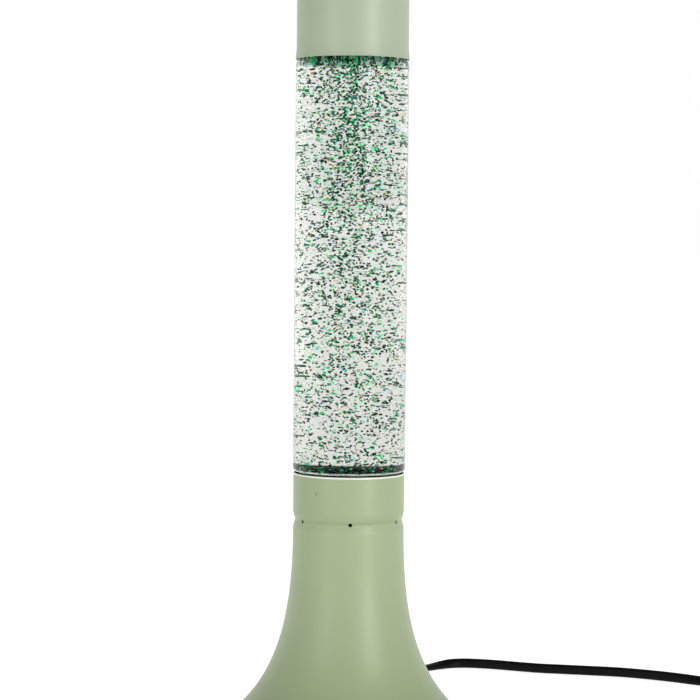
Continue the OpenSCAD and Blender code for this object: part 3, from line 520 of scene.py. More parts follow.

# %% [markdown]
# ## The tie
# The coil is held by one soft strap round all its turns, with a button on the outside. The strap is a
# closed band that hugs the turns on its own side of the coil.

# %% Wrap the tie round the coil
TIE_WIDE = 4.0
TIE_ANGLE = radians(200)
TIE_PLAY = 0.1
NARROW = 0.997
BUTTON_R, BUTTON_Z = 1.3, 6.4


def turns_beside(angle):
    """The distances from the coil's middle at which the lead passes on one side of it."""
    towards = Vector((cos(angle), sin(angle)))
    offsets = [Vector((point[0] - coil_x, point[1] - coil_y)) for point, _ in second_run]
    return [o.length for o in offsets if o.length < OUTER_TURN + 1 and o.normalized().dot(towards) > NARROW]


beside, half_lead = turns_beside(TIE_ANGLE), LEAD_THICK / 2
tie_in = max(INNER_TURN - half_lead - RAMP_ASIDE, min(beside) - half_lead - TIE_PLAY)
tie_out = min(OUTER_TURN + half_lead, max(beside) + half_lead + TIE_PLAY)
print(f"tie from {tie_in:.2f} to {tie_out:.2f} mm from the coil's middle")
tie_high = 2 * LEAD_WIDE + TIE_THICK


def tie_outline(grow):
    """Points round the coil's section, as (distance from its middle, height)."""
    centre_r, centre_z = (tie_in + tie_out) / 2, (TIE_THICK + tie_high) / 2
    loop = rounded_rectangle(tie_out - tie_in + 2 * grow, tie_high - TIE_THICK + 2 * grow, 1.4 + grow, 6)
    return [(centre_r + a, centre_z + b) for a, b in loop]


inner_loop, outer_loop = tie_outline(0.02), tie_outline(TIE_THICK - 0.05)
tie_edges = [
    [Vector((r, side * TIE_WIDE / 2, z)) * MM for r, z in loop]
    for side, loop in ((-1, inner_loop), (-1, outer_loop), (1, outer_loop), (1, inner_loop))
]
strap = meshed(sum(tie_edges, []), [face for i in range(4) for face in band(len(inner_loop), i, (i + 1) % 4)])
button = stack([
    [(tie_out + TIE_THICK + x - 0.4, BUTTON_R * s * cos(a), BUTTON_Z + BUTTON_R * s * sin(a))
     for a in whole_turn(20)]
    for x, s in ((0, 1), (0.7, 1), (0.95, 0.75), (1.0, 0.3))])
tie_mesh = joined([rounded(strap, 0.15, 50, 2), button])
tie_mesh.transform(Matrix.Translation((coil_x * MM, coil_y * MM, 0)) @ Matrix.Rotation(TIE_ANGLE, 4, "Z"))
tie = piece("coil_strap", tie_mesh, "base", "black_pvc", "coil_tie")

# %% [markdown]
# ## The base
# The base is one sheet of aluminium spun over a former: a foot rim, a wide flare, a rolled bead that
# the bottle stands on, a straight collar and a turned-over lip. Its outline is a few arcs and one
# cubic curve, carried up the outside and back down the inside with the sheet's thickness between.


# %% Curves for spun outlines
def arc(r, z, radius, first, last, steps):
    turn = np.radians(np.linspace(first, last, steps + 1))
    return [(r + radius * cos(a), z + radius * sin(a)) for a in turn]


def cubic(c, t):
    return (1 - t) ** 3 * c[0] + 3 * (1 - t) ** 2 * t * c[1] + 3 * (1 - t) * t * t * c[2] + t**3 * c[3]


def cubic_inside(c, t, wall):
    along = 3 * (1 - t) ** 2 * (c[1] - c[0]) + 6 * (1 - t) * t * (c[2] - c[1]) + 3 * t * t * (c[3] - c[2])
    return cubic(c, t) - wall * np.array([-along[1], along[0]]) / np.linalg.norm(along)


# %% Spin the base
BASE_WALL, BASE_SIDES = 0.9, 288
COLLAR_R = 29.65
BEAD_Z = BASE_TOP - 25
BEAD_WIDE, BEAD_DEEP, BEAD_BEND = 10, 1.25, 1.6
RIM_Z, RIM_ROUND = low("base_shell", 2), 1.0
FLANGE_IN = BASE_R - RIM_ROUND - 11
RIM_CENTRE = (BASE_R - RIM_ROUND, RIM_Z + RIM_ROUND)
FLARE = np.array([
    (COLLAR_R, BEAD_Z - 7), (COLLAR_R, 54.5), (COLLAR_R + 10.8, 24.5),
    (RIM_CENTRE[0] + RIM_ROUND * sqrt(0.5), RIM_CENTRE[1] + RIM_ROUND * sqrt(0.5)),
])


def bead_side(r, steps=36):
    """The groove under the collar, whose two sides curve into a crease."""
    across = np.linspace(-1, 1, steps + 1)
    return [(r - BEAD_DEEP * (1 - abs(u)) ** BEAD_BEND, BEAD_Z + BEAD_WIDE / 2 * u) for u in across]


collar_steps = np.linspace(BEAD_Z + BEAD_WIDE / 2, BASE_TOP - BASE_WALL / 2, 42)[1:-1]
flare_steps = np.linspace(0, 1, 91)
flare_inside = [tuple(cubic_inside(FLARE, t, BASE_WALL)) for t in flare_steps]
flare_inside = [p for p in flare_inside if p[1] > RIM_Z + BASE_WALL + 0.3]
base_outline = (
    [(FLANGE_IN, RIM_Z)]
    + arc(*RIM_CENTRE, RIM_ROUND, -90, 45, 8)
    + [tuple(cubic(FLARE, t)) for t in flare_steps[-2:0:-1]]
    + bead_side(COLLAR_R)
    + [(COLLAR_R, z) for z in collar_steps]
    + arc(COLLAR_R - BASE_WALL / 2, BASE_TOP - BASE_WALL / 2, BASE_WALL / 2, 0, 180, 10)
    + [(COLLAR_R - BASE_WALL, z) for z in collar_steps[::-1]]
    + bead_side(COLLAR_R - BASE_WALL)[::-1]
    + flare_inside
    + [(flare_inside[-1][0] + 0.8, RIM_Z + BASE_WALL), (FLANGE_IN, RIM_Z + BASE_WALL)]
)
base_mesh = spun(base_outline, BASE_SIDES)
print("base outline of", len(base_outline), "points")

# %% [markdown]
# Six small vents are drilled round the waist of the bead, and a notch in the flange lets the lead
# out at the back. Both are real openings, cut out of the skin. The collar also has one shallow dent
# towards the front left, a smooth dip of the sheet, which takes the light as a real one does.

# %% Drill the vents, cut the notch and press the dent
VENT_R, VENT_FIRST, VENT_COUNT = 1.0, -88, 6
NOTCH_WIDE, NOTCH_TOP = 9.5, RIM_Z + 7
NOTCH_FROM, NOTCH_TO = FLANGE_IN - 5, BASE_R + 9
drills = []
for k in range(VENT_COUNT):
    drill = rod(VENT_R, COLLAR_R - 6, COLLAR_R + 4, 0, 0, 32)
    round_the_bead = Matrix.Rotation(radians(VENT_FIRST + 360 / VENT_COUNT * k), 4, "Z")
    drill.transform(Matrix.Translation((0, 0, BEAD_Z * MM)) @ round_the_bead @ Matrix.Rotation(pi / 2, 4, "Y"))
    drills.append(drill)
half = NOTCH_WIDE / 2
notch_corners = [(-half, NOTCH_FROM), (-half, NOTCH_TO), (half, NOTCH_TO), (half, NOTCH_FROM)]
drills.append(stack([[(*p, z) for p in notch_corners] for z in (-2, NOTCH_TOP)]))
base_mesh = cut(base_mesh, drills)

DENT_ANGLE, DENT_Z, DENT_SPREAD, DENT_DEEP = radians(-126.4), 129.5, 1.2, 0.8
dent_at = np.array((cos(DENT_ANGLE) * COLLAR_R, sin(DENT_ANGLE) * COLLAR_R, DENT_Z)) * MM
pressed = 0
for v in base_mesh.vertices:
    away = np.linalg.norm(np.array(v.co) - dent_at) / MM
    if away < 4 * DENT_SPREAD:
        push = DENT_DEEP * exp(-((away / DENT_SPREAD) ** 2)) * MM
        v.co -= Vector((v.co.x, v.co.y, 0)).normalized() * push
        pressed += 1
base = piece("base_skin", base_mesh, "base", "sage_base", "base_shell", crisp=40)
print(pressed, "points pressed into the dent")

# %% [markdown]
# ## The bottle
# The bottle is blown glass with a straight wall, a round shoulder and a short neck under a crown
# cap. Its bottom is pushed up in the middle. The clear fluid fills it to the neck. Light has to bend
# once where glass meets fluid, so the fluid's skin overlaps the glass by a hair: with an air gap
# there, the wall would flash like a mirror.

# %% Blow the bottle and fill it
GLASS_R = high("glass_bottle", 0)
GLASS_WALL, BOTTOM_THICK, PUNT = 2.5, 4.0, 2.0
BOTTLE_SIDES = 256
FOOT_Z = low("glass_bottle", 2)
HEEL_Z, HEEL_R = BASE_TOP + 0.5, 1.8
FOOT_R = GLASS_R - HEEL_R
MOUTH_Z = high("glass_bottle", 2)
MOUTH_R, FINISH_R, NECK_R, NECK_HIGH, FINISH_HIGH = 9, 13, 12, 9, 4
SHOULDER_R, THROAT_R = 14, 16
THROAT_Z = MOUTH_Z - NECK_HIGH
shoulder_turn = degrees(acos((SHOULDER_R + THROAT_R - GLASS_R + NECK_R) / (SHOULDER_R + THROAT_R)))
SHOULDER_Z = THROAT_Z - (SHOULDER_R + THROAT_R) * sin(radians(shoulder_turn))
FLUID_TOP = high("liquid_fill", 2)
FLOOR_CORNER = 3
FLOOR_Z = FOOT_Z + BOTTOM_THICK


def shoulder(inset):
    """The shoulder and the throat above it, set in by the thickness of the glass."""
    return arc(GLASS_R - SHOULDER_R, SHOULDER_Z, SHOULDER_R - inset, 0, shoulder_turn, 24) + arc(
        NECK_R + THROAT_R, THROAT_Z, THROAT_R + inset, 180 + shoulder_turn, 180, 24
    )


def pushed_up(reach, z, steps=10):
    """The bottom, highest on the axis, out to where it meets the ring it stands on."""
    return [(reach * s, z + PUNT * (1 - s * s) ** 1.5) for s in np.linspace(0, 1, steps + 1)]


def hollow(play=0.0):
    """The inside of the bottle from the middle of its floor up to the throat."""
    foot_in = FOOT_R - GLASS_WALL - play
    step = [(foot_in, HEEL_Z - 1), (GLASS_R - GLASS_WALL - play, HEEL_Z - 1 + 1.6 * HEEL_R)]
    floor = pushed_up(foot_in - FLOOR_CORNER, FLOOR_Z + play)[:-1]
    corner = arc(foot_in - FLOOR_CORNER, FLOOR_Z + FLOOR_CORNER + play, FLOOR_CORNER, -90, 0, 8)
    return floor + corner + step + shoulder(GLASS_WALL + play)


bottle_outline = (
    pushed_up(FOOT_R - 5, FOOT_Z)
    + arc(FOOT_R - 1, FOOT_Z + 1, 1, -90, 0, 8)
    + arc(GLASS_R - HEEL_R, HEEL_Z + HEEL_R, HEEL_R, -90, 0, 12)
    + shoulder(0)
    + [(NECK_R, MOUTH_Z - FINISH_HIGH - 1), (FINISH_R, MOUTH_Z - FINISH_HIGH), (FINISH_R, MOUTH_Z - 1),
       (FINISH_R - 0.8, MOUTH_Z), (MOUTH_R, MOUTH_Z), (MOUTH_R, THROAT_Z + 1)]
    + hollow()[::-1]
)
piece("glass_skin", spun(bottle_outline, BOTTLE_SIDES), "bottle", "bottle_glass", "glass_bottle", crisp=50)

SKIN_OVERLAP = 0.08
fluid_side = [p for p in hollow(-SKIN_OVERLAP) if p[1] < FLUID_TOP]
fluid_outline = fluid_side + [(fluid_side[-1][0], FLUID_TOP), (0, FLUID_TOP)]
piece("fluid_body", spun(fluid_outline, BOTTLE_SIDES), "bottle", "liquid", "liquid_fill", crisp=50)

# %% [markdown]
# ## The flakes
# Glitter is punched from thin metallised film as hexagons a millimetre or a little more across.
# Thousands of them hang in the fluid, many at every angle and some nearly level, as they sink. They
# are thicker in the column of warm fluid that rises up the middle. Others have settled on the
# bottle's floor, and two rings of them cling to the glass, at the collar's edge and at the cap's.
# Places and angles come from a seeded generator, so every run makes the same cloud. Each flake is a
# closed plate, and one mesh holds them all with one finish for each shade.

# %% Scatter the flakes
# The darkest shade is painted shade for flakes seen against the light; the brightest, the amber and the aqua are
# painted glints.
SHADES = [
    ("flake_dark", 0.50), ("flake_mid", 0.27), ("flake_bright", 0.13),
    ("flake_mint", 0.05), ("flake_amber", 0.02), ("flake_aqua", 0.03),
]
LOOSE, SETTLED = 10000, 600
CLINGING = [(160, BASE_TOP - 2, BASE_TOP + 1.5), (260, CAP_LOW - 3.5, CAP_LOW + 1)]
FLAKE_ACROSS = (1.0, 1.55)
LYING_SHARE = 0.35
LEAN_LOOSE, LEAN_SETTLED = 0.22, 0.14
FLAKE_THICK = 0.05
ROOM = 0.9
COLUMN_R, COLUMN_DENSE = 8.0, 0.80
draw = np.random.default_rng(20)
FLUID_LOW, FLUID_HIGH = FLOOR_Z + PUNT + 1.5, SHOULDER_Z + 14


def inner_wall(z):
    """The radius of the bottle's inside at a height, a little short of it at the corner and the neck."""
    wall = (FOOT_R if z < HEEL_Z + 5 else GLASS_R) - GLASS_WALL
    return wall - max(0, z - SHOULDER_Z) * 0.45 - max(0, FLOOR_Z + FLOOR_CORNER - z)


def crowding(r, z):
    """How thick the cloud of flakes is at a place, from 0 to 1."""
    share = (z - FLUID_LOW) / (FLUID_HIGH - FLUID_LOW)
    spread = 0.19 + 0.05 * share
    column = COLUMN_DENSE * np.exp(-((r / COLUMN_R) ** 2)) * np.clip((share - 0.3) / 0.6, 0, 1)
    return np.clip(spread + column, 0, 1)


def nearly_level(count, lean):
    """Turns that leave a flake level but for a small lean, and spin it freely."""
    return np.column_stack([np.ones(count), draw.normal(size=(count, 2)) * lean, draw.uniform(-1, 1, count)])


places = []
while len(places) < LOOSE:
    x, y = draw.uniform(-GLASS_R, GLASS_R, 2)
    z = draw.uniform(FLUID_LOW, FLUID_HIGH)
    r = hypot(x, y)
    if r < inner_wall(z) - ROOM and draw.random() < crowding(r, z):
        places.append((x, y, z))
tumbled = draw.normal(size=(LOOSE, 4))
level = nearly_level(LOOSE, LEAN_LOOSE)
tumbled = np.where((draw.random(LOOSE) < LYING_SHARE)[:, None], level, tumbled)

bed_r = FOOT_R - GLASS_WALL - FLOOR_CORNER - 0.8
bed_angle, bed_share = draw.uniform(0, 2 * pi, SETTLED), np.sqrt(draw.random(SETTLED))
for a, s in zip(bed_angle, bed_share):
    lift = 0.15 + PUNT * (1 - s * s) ** 1.5 + draw.uniform(0, 0.5)
    places.append((bed_r * s * cos(a), bed_r * s * sin(a), FLOOR_Z + lift))
turns = [tumbled, nearly_level(SETTLED, LEAN_SETTLED)]
for count, ring_low, ring_high in CLINGING:
    angles, heights = draw.uniform(0, 2 * pi, count), draw.uniform(ring_low, ring_high, count)
    for a, z in zip(angles, heights):
        wall = inner_wall(z) - ROOM - draw.uniform(0, 0.5)
        places.append((wall * cos(a), wall * sin(a), z))
    turns.append(draw.normal(size=(count, 4)))
places = np.array(places)
turns = np.vstack(turns)
turns /= np.linalg.norm(turns, axis=1)[:, None]
print(len(places), "flakes")

# %% Build the flakes as one mesh
w, x, y, z = turns.T
across_u = np.stack([1 - 2 * (y * y + z * z), 2 * (x * y + w * z), 2 * (x * z - w * y)], axis=1)
across_v = np.stack([2 * (x * y - w * z), 1 - 2 * (x * x + z * z), 2 * (y * z + w * x)], axis=1)
through = np.cross(across_u, across_v)
sizes = draw.uniform(*FLAKE_ACROSS, len(places)) / 2
flake_points = np.stack([
    places + sizes[:, None] * (cos(a) * across_u + sin(a) * across_v) + side * FLAKE_THICK / 2 * through
    for side in (-1, 1) for a in whole_turn(6)
], axis=1) * MM
one_flake = [(5, 4, 3, 2, 1, 0), (6, 7, 8, 9, 10, 11)] + [(k, (k + 1) % 6, 6 + (k + 1) % 6, 6 + k) for k in range(6)]
flake_faces = [tuple(12 * i + k for k in face) for i in range(len(places)) for face in one_flake]
flake_mesh = bpy.data.meshes.new("flakes")
flake_mesh.from_pydata(flake_points.reshape(-1, 3).tolist(), [], flake_faces)
shade_of = draw.choice(len(SHADES), size=len(places), p=[share for _, share in SHADES])
piece("glitter_flakes", flake_mesh, "bottle", "glitter", "glitter", crisp=None)

# %% [markdown]
# ## The cap
# The cap is spun like the base. Its open edge flares by a good half millimetre so that it slides over
# the glass, its side is straight, and its top turns over through a round corner into a slight dome.

# %% Spin the cap
CAP_WALL, CAP_R, CAP_FLARE, FLARE_HIGH = 0.9, 29.65, 0.65, 8
CAP_ROUND, CAP_DOME, CORNER_TURN = 6, 1.5, 84
SIDE_FROM = 0.7
CAP_SIDES = 216


def cap_side(r):
    heights = np.linspace(SIDE_FROM, FLARE_HIGH, 17)
    return [(r + CAP_FLARE * (1 - h / FLARE_HIGH) ** 2, CAP_LOW + h) for h in heights]


def cap_top(thick, steps=14):
    centre_r, centre_z = CAP_R - CAP_ROUND, LAMP_TOP - CAP_DOME - CAP_ROUND
    corner = arc(centre_r, centre_z, CAP_ROUND - thick, 0, CORNER_TURN, 20)
    dome = [(centre_r * s, LAMP_TOP - thick - CAP_DOME * s * s) for s in np.linspace(1, 0, steps + 1)[1:]]
    return corner + dome


edge_mid = CAP_R + CAP_FLARE - CAP_WALL / 2
cap_outline = (
    arc(edge_mid, CAP_LOW + CAP_WALL / 2, CAP_WALL / 2, -180, 0, 12)
    + cap_side(CAP_R)
    + cap_top(0)
    + cap_top(CAP_WALL)[::-1]
    + cap_side(CAP_R - CAP_WALL)[::-1]
)
cap = piece("cap_skin", spun(cap_outline, CAP_SIDES), "cap", "sage_cap", "cap_shell", crisp=40)

# %% [markdown]
# ## Finishes
# A finish is a tree of shader nodes. Written as plain calls it is long, so two small classes keep it
# short. A Value stands for one socket, and sums on it are plain Python. A Finish adds any other node
# through one method, which first sets the node up and then fills or links its sockets.


# %% Write shader sums as Python
class Value:
    """One output socket of a finish. Python's operators on it add Math nodes."""

    def __init__(self, finish, socket):
        self.finish, self.socket = finish, socket

    def math(self, operation, *operands):
        return self.finish.node("ShaderNodeMath", dict(enumerate(operands)), operation=operation)

    def __add__(self, other):
        return self.math("ADD", self, other)

    def __sub__(self, other):
        return self.math("SUBTRACT", self, other)

    def __rsub__(self, other):
        return self.math("SUBTRACT", other, self)

    def __mul__(self, other):
        return self.math("MULTIPLY", self, other)

    __radd__, __rmul__ = __add__, __mul__


class Finish:
    """A material, or a world, and its shader tree."""

    def __init__(self, name, shelf=bpy.data.materials):
        self.material = shelf.new(name)
        self.material.use_nodes = True
        self.tree = self.material.node_tree
        self.tree.nodes.clear()

    def node(self, kind, sockets=None, out=0, **settings):
        made = self.tree.nodes.new(kind)
        for key, value in settings.items():
            if key == "stops":
                set_stops(made.color_ramp, value)
            else:
                setattr(made, key, value)
        for key, value in (sockets or {}).items():
            if isinstance(value, Value):
                self.tree.links.new(value.socket, made.inputs[key])
            else:
                made.inputs[key].default_value = value
        return Value(self, made.outputs[out]) if made.outputs else None


def set_stops(ramp, stops):
    """Give a ramp its stops, each a position and a grey."""
    ramp.elements[0].position, ramp.elements[1].position = stops[0][0], stops[-1][0]
    for at, _ in stops[1:-1]:
        ramp.elements.new(at)
    for stop, (_, grey) in zip(ramp.elements, stops):
        stop.color = (grey, grey, grey, 1)


# %% [markdown]
# A few steps come up again and again: the place on the piece, in metres and fixed to it; its height;
# a soft random pattern whose grain is given in millimetres; and a mix of two colours by a pattern.
# Another turns a pattern into fine relief of a given depth, and the last ones close the tree.


# %% Steps that the finishes share
def place(finish):
    return finish.node("ShaderNodeTexCoord", out="Object")


def height_of(finish, at):
    return finish.node("ShaderNodeSeparateXYZ", {0: at}, out=2)


def grain(finish, at, size, detail, rough=0.5):
    """A soft random pattern from 0 to 1 with a grain of size millimetres."""
    look = {"Vector": at, "Scale": 1 / (size * MM), "Detail": detail, "Roughness": rough}
    return finish.node("ShaderNodeTexNoise", look)


def between(finish, pattern, first, second):
    """A mix of two colours, each of which may itself be a mix."""
    first, second = (c if isinstance(c, Value) else (*c, 1) for c in (first, second))
    return finish.node("ShaderNodeMix", {0: pattern, 6: first, 7: second}, out=2, data_type="RGBA")


def relief(finish, pattern, depth):
    """The surface's normal over a pattern that stands depth millimetres high."""
    return finish.node("ShaderNodeBump", {"Strength": 1.0, "Distance": depth * MM, "Height": pattern})


def principled(finish, sockets):
    return finish.node("ShaderNodeBsdfPrincipled", sockets)


def shown(finish, shader):
    finish.node("ShaderNodeOutputMaterial", {"Surface": shader})
    return finish.material


def closed(finish, sockets):
    return shown(finish, principled(finish, sockets))


def toned(finish, pattern, colour, *factors):
    """A colour that the pattern shifts from its first factor to its second."""
    return between(finish, pattern, *(tuple(min(1.0, c * factor) for c in colour) for factor in factors))


# %% [markdown]
# ** Satin paint.** Sprayed enamel on spun metal keeps two kinds of relief: the soft pebbling of the
# spray, a millimetre or so across, and under it the faint rings that the spinning tool left, which
# only depend on the height. Its colour drifts by a few percent, and handling leaves patches that
# are a little glossier. On the base the crease gets painted shade and light: its upper side is
# painted darker as shade and its lower side paler as light, both fading out within a few millimetres.

# %% Mix the satin paint
CREASE_REACH = 6
# Painted shade and light in the crease: darker grey stops above it, paler ones below it.
CREASE_PAINTED_SHADING = [(0.0, 0.5), (0.25, 0.68), (0.47, 0.92), (0.52, 0.10), (0.7, 0.34), (1.0, 0.5)]


def satin_paint(name, colour, rough, crease=None):
    finish = Finish(name)
    at = place(finish)
    drift = grain(finish, at, 45, 3)
    handled = grain(finish, at, 14, 4, 0.6)
    pebbling = grain(finish, at, 0.9, 1)
    height = height_of(finish, at)
    rings = finish.node("ShaderNodeTexNoise", {"W": height, "Scale": 900, "Detail": 2.0}, noise_dimensions="1D")
    tone = drift * 0.18 + 0.41
    if crease:
        # The base's crease gets painted shade on its upper side and painted light on its lower side.
        share = (height - (crease - CREASE_REACH) * MM) * (1 / (2 * CREASE_REACH * MM))
        crease_painted_shading = finish.node("ShaderNodeValToRGB", {0: share}, stops=CREASE_PAINTED_SHADING)
        tone = tone + crease_painted_shading - 0.5
    return closed(finish, {
        "Base Color": toned(finish, tone, colour, 0.82, 1.18),
        "Roughness": handled * 0.10 + (rough - 0.05),
        "IOR": 1.5,
        "Normal": relief(finish, pebbling * 0.7 + rings * 0.3, 0.006),
    })


FINISHES = {
    "sage_base": satin_paint("satin_sage", (0.290, 0.357, 0.199), 0.38, BEAD_Z),
    "sage_cap": satin_paint("satin_sage_pale", (0.320, 0.376, 0.261), 0.38),
}
print(len(FINISHES), "paints mixed")

# %% [markdown]
# **Plastics and rubber.** Moulded plastic takes the fine grain of its mould. Soft PVC is a little
# glossier, with slow waves along it, and collects a trace of dust. One recipe makes them all from a
# colour, a roughness, the size and depth of the grain, and how much the dust lightens it.


# %% Mould the plastics
def moulded(name, colour, rough, size, depth, dust, gloss=0.5):
    finish = Finish(name)
    at = place(finish)
    mould = grain(finish, at, size, 3)
    patches = grain(finish, at, 9, 4, 0.6)
    return closed(finish, {
        "Base Color": toned(finish, patches, colour, 0.9, dust),
        "Roughness": patches * 0.12 + (rough - 0.06),
        "Specular IOR Level": gloss,
        "Normal": relief(finish, mould, depth),
    })


PLASTICS = {
    "black_pvc": ("soft_black_pvc", (0.0018, 0.0016, 0.0018), 0.36, 1.6, 0.012, 1.6, 0.10),
    "switch_plastic": ("fine_black_moulding", (0.0060, 0.0060, 0.0065), 0.34, 0.35, 0.02, 1.6, 0.25),
    "phenolic": ("black_phenolic", (0.028, 0.026, 0.026), 0.30, 2.5, 0.01, 1.6),
    "rubber": ("foot_rubber", (0.030, 0.030, 0.031), 0.75, 0.6, 0.05, 1.7),
    "brown_pvc": ("brown_insulation", (0.16, 0.070, 0.030), 0.34, 2.0, 0.01, 1.1),
    "blue_pvc": ("blue_insulation", (0.035, 0.12, 0.42), 0.34, 2.0, 0.01, 1.1),
    "liner": ("soft_liner", (0.78, 0.77, 0.72), 0.6, 0.8, 0.03, 1.05),
    "black_glass": ("insulating_glass", (0.018, 0.017, 0.020), 0.12, 1.5, 0.02, 1.5),
    # Painted shade: the dark insides of the base and the cap stand for the shade inside them.
    "inside": ("thin_overspray_inside", (0.045, 0.070, 0.042), 0.55, 1.2, 0.02, 1.5, 0.3),
    # Painted light: a pale band on the collar's top edge for the bright line seen through the glass there.
    "rim": ("bare_pale_rim", (0.72, 0.73, 0.68), 0.30, 1.2, 0.01, 1.1),
    "steatite": ("unglazed_steatite", (0.80, 0.77, 0.70), 0.62, 0.5, 0.04, 1.06),
}
FINISHES.update({slot: moulded(*recipe) for slot, recipe in PLASTICS.items()})
print(len(FINISHES), "finishes so far")

# %% [markdown]
# **Metals.** A metal's colour is its reflection. Zinc plate is dull, with a faint spangle, brass and
# nickel are smoother, and solder is lumpy. What differs is how rough the metal is, how much that
# changes from place to place, and how it tarnishes.


# %% Plate the metals
def plated(name, colour, rough, size, depth, tarnish):
    finish = Finish(name)
    at = place(finish)
    spangle = grain(finish, at, size, 4, 0.6)
    age = grain(finish, at, 6, 3)
    return closed(finish, {
        "Base Color": toned(finish, age, colour, tarnish, 1),
        "Metallic": 1.0,
        "Roughness": spangle * 0.16 + (rough - 0.08),
        "Normal": relief(finish, spangle, depth),
    })


METALS = {
    "zinc_steel": ("zinc_plate", (0.66, 0.67, 0.69), 0.36, 1.4, 0.004, 0.86),
    "brass": ("bright_brass", (0.83, 0.63, 0.30), 0.26, 1.0, 0.004, 0.80),
    "solder": ("dull_solder", (0.68, 0.68, 0.70), 0.42, 0.9, 0.05, 0.85),
    "tungsten": ("drawn_tungsten", (0.40, 0.39, 0.37), 0.40, 0.4, 0.01, 0.9),
    "nickel": ("nickel_plate", (0.80, 0.79, 0.76), 0.18, 1.2, 0.003, 0.92),
    "tinplate": ("lacquered_tinplate", (0.78, 0.78, 0.75), 0.24, 2.0, 0.004, 0.93),
}
FINISHES.update({slot: plated(*recipe) for slot, recipe in METALS.items()})
print(len(FINISHES), "finishes so far")

# %% [markdown]
# ** Glass and fluid.** Clear glass has next to no colour of its own: the look comes from how far it
# bends light. Blown glass is never quite flat, so very slow waves go into its surface. The fluid
# bends light less than glass does. Both shine little, because the room round a lamp is darker than
# the tent here. The glass carries painted shade in two green bands, dark at the foot over the base's
# shaded inside and paler at the neck under the cap's. The foot band ends in a straight edge over the
# collar and the neck band in a ragged one under the cap, and the colour is a mix by the height. The
# fluid is tinted a little greyer low down. The bulb's glass is silvered inside its flared side and
# clear round its neck and crown, so a mask on the height mixes a mirror with glass.


# %% Blow the glass
SHINE = 0.12


def glassy(finish, tint, bend, sockets):
    look = {"Base Color": tint, "Roughness": 0.0, "IOR": bend, "Transmission Weight": 1.0}
    return closed(finish, {**look, "Specular Tint": (SHINE, SHINE, SHINE, 1), **sockets})


# Two bands of painted shade in the glass's colour, dark at the foot and paler under the cap.
def shade_banded_glass(name, colour, foot_edge, foot_painted_shade, neck_edge, neck_painted_shade, ragged):
    finish = Finish(name)
    at = place(finish)
    height = height_of(finish, at)
    wobble = (grain(finish, at, 2.2, 5, 0.7) - 0.5) * (ragged * MM)
    foot = height.math("LESS_THAN", height, foot_edge * MM)
    neck = height.math("GREATER_THAN", height + wobble, neck_edge * MM)
    tint = between(finish, neck, between(finish, foot, colour, foot_painted_shade), neck_painted_shade)
    return glassy(finish, tint, 1.5, {"Normal": relief(finish, grain(finish, at, 18, 1), 0.02)})


# Painted shade bands: dark green at the foot, grey-green under the cap.
FINISHES["bottle_glass"] = shade_banded_glass(
    "blown_glass", (0.975, 0.985, 0.975), BASE_TOP + 0.9, (0.08, 0.14, 0.08), CAP_LOW - 2.6, (0.36, 0.49, 0.42), 7
)


# The fluid's tint is greyer towards the bottom.
def fluid_greyer_low(name, low_tint, high_tint):
    finish = Finish(name)
    height = height_of(finish, place(finish))
    share = (height - FLOOR_Z * MM) * (1 / ((FLUID_TOP - FLOOR_Z) * MM))
    return glassy(finish, between(finish, share, low_tint, high_tint), 1.38, {})


FINISHES["liquid"] = fluid_greyer_low("clear_fluid", (0.66, 0.66, 0.63), (0.785, 0.795, 0.765))


def silvered_glass(name, silver_from, silver_to):
    finish = Finish(name)
    at = place(finish)
    height = height_of(finish, at)
    above = height.math("GREATER_THAN", height, silver_from * MM)
    below = height.math("LESS_THAN", height, silver_to * MM)
    glass = principled(finish, {
        "Base Color": (0.97, 0.98, 0.98, 1), "Roughness": 0.03, "IOR": 1.5, "Transmission Weight": 1.0,
        "Normal": relief(finish, grain(finish, at, 9, 1), 0.02)})
    mirror = principled(finish, {
        "Base Color": (0.86, 0.86, 0.87, 1), "Metallic": 1.0, "Roughness": grain(finish, at, 5, 2) * 0.08 + 0.10})
    return shown(finish, finish.node("ShaderNodeMixShader", {0: above * below, 1: glass, 2: mirror}))


NECK_CLEAR, CROWN_CLEAR = 22, 17
FINISHES["bulb_glass"] = silvered_glass(
    "reflector_glass", low("bulb_glass", 2) + NECK_CLEAR, high("bulb_glass", 2) - CROWN_CLEAR)
print(len(FINISHES), "finishes so far")

# %% [markdown]
# **Flakes.** The film is metallised and dyed, so a flake is a dim coloured mirror that flashes when
# it faces a light. Little light finds its way in through two curved skins, so each shade also has a
# faint glow that stands for the light the flakes throw on each other.


# %% Dye the flakes
def dyed_film(name, colour, mirror, glow):
    finish = Finish(name)
    tone = grain(finish, place(finish), 3, 1)
    return closed(finish, {
        "Base Color": toned(finish, tone, colour, 0.75, 1.25),
        "Metallic": mirror,
        "Roughness": tone * 0.10 + 0.28,
        "Specular IOR Level": 0.05,
        "Emission Color": (*colour, 1),
        "Emission Strength": glow,
    })


# Painted light and shade: the darkest film stands for flakes in shade, the brightest, amber and aqua for flakes
# caught in a glint.
DYES = {
    "flake_dark": ((0.001, 0.110, 0.045), 0.3, 0.10),
    "flake_mid": ((0.006, 0.25, 0.110), 0.5, 0.15),
    "flake_bright": ((0.0, 0.75, 0.18), 0.9, 0.30),
    "flake_mint": ((0.08, 0.95, 0.36), 0.9, 0.50),
    "flake_amber": ((0.90, 0.50, 0.10), 0.9, 0.40),
    "flake_aqua": ((0.05, 0.55, 0.70), 0.9, 0.40),
}
for shade, _ in SHADES:
    flake_mesh.materials.append(dyed_film(shade, *DYES[shade]))
flake_mesh.polygons.foreach_set("material_index", np.repeat(shade_of, len(one_flake)))
flake_mesh.update()
print("flake shades:", len(flake_mesh.materials))

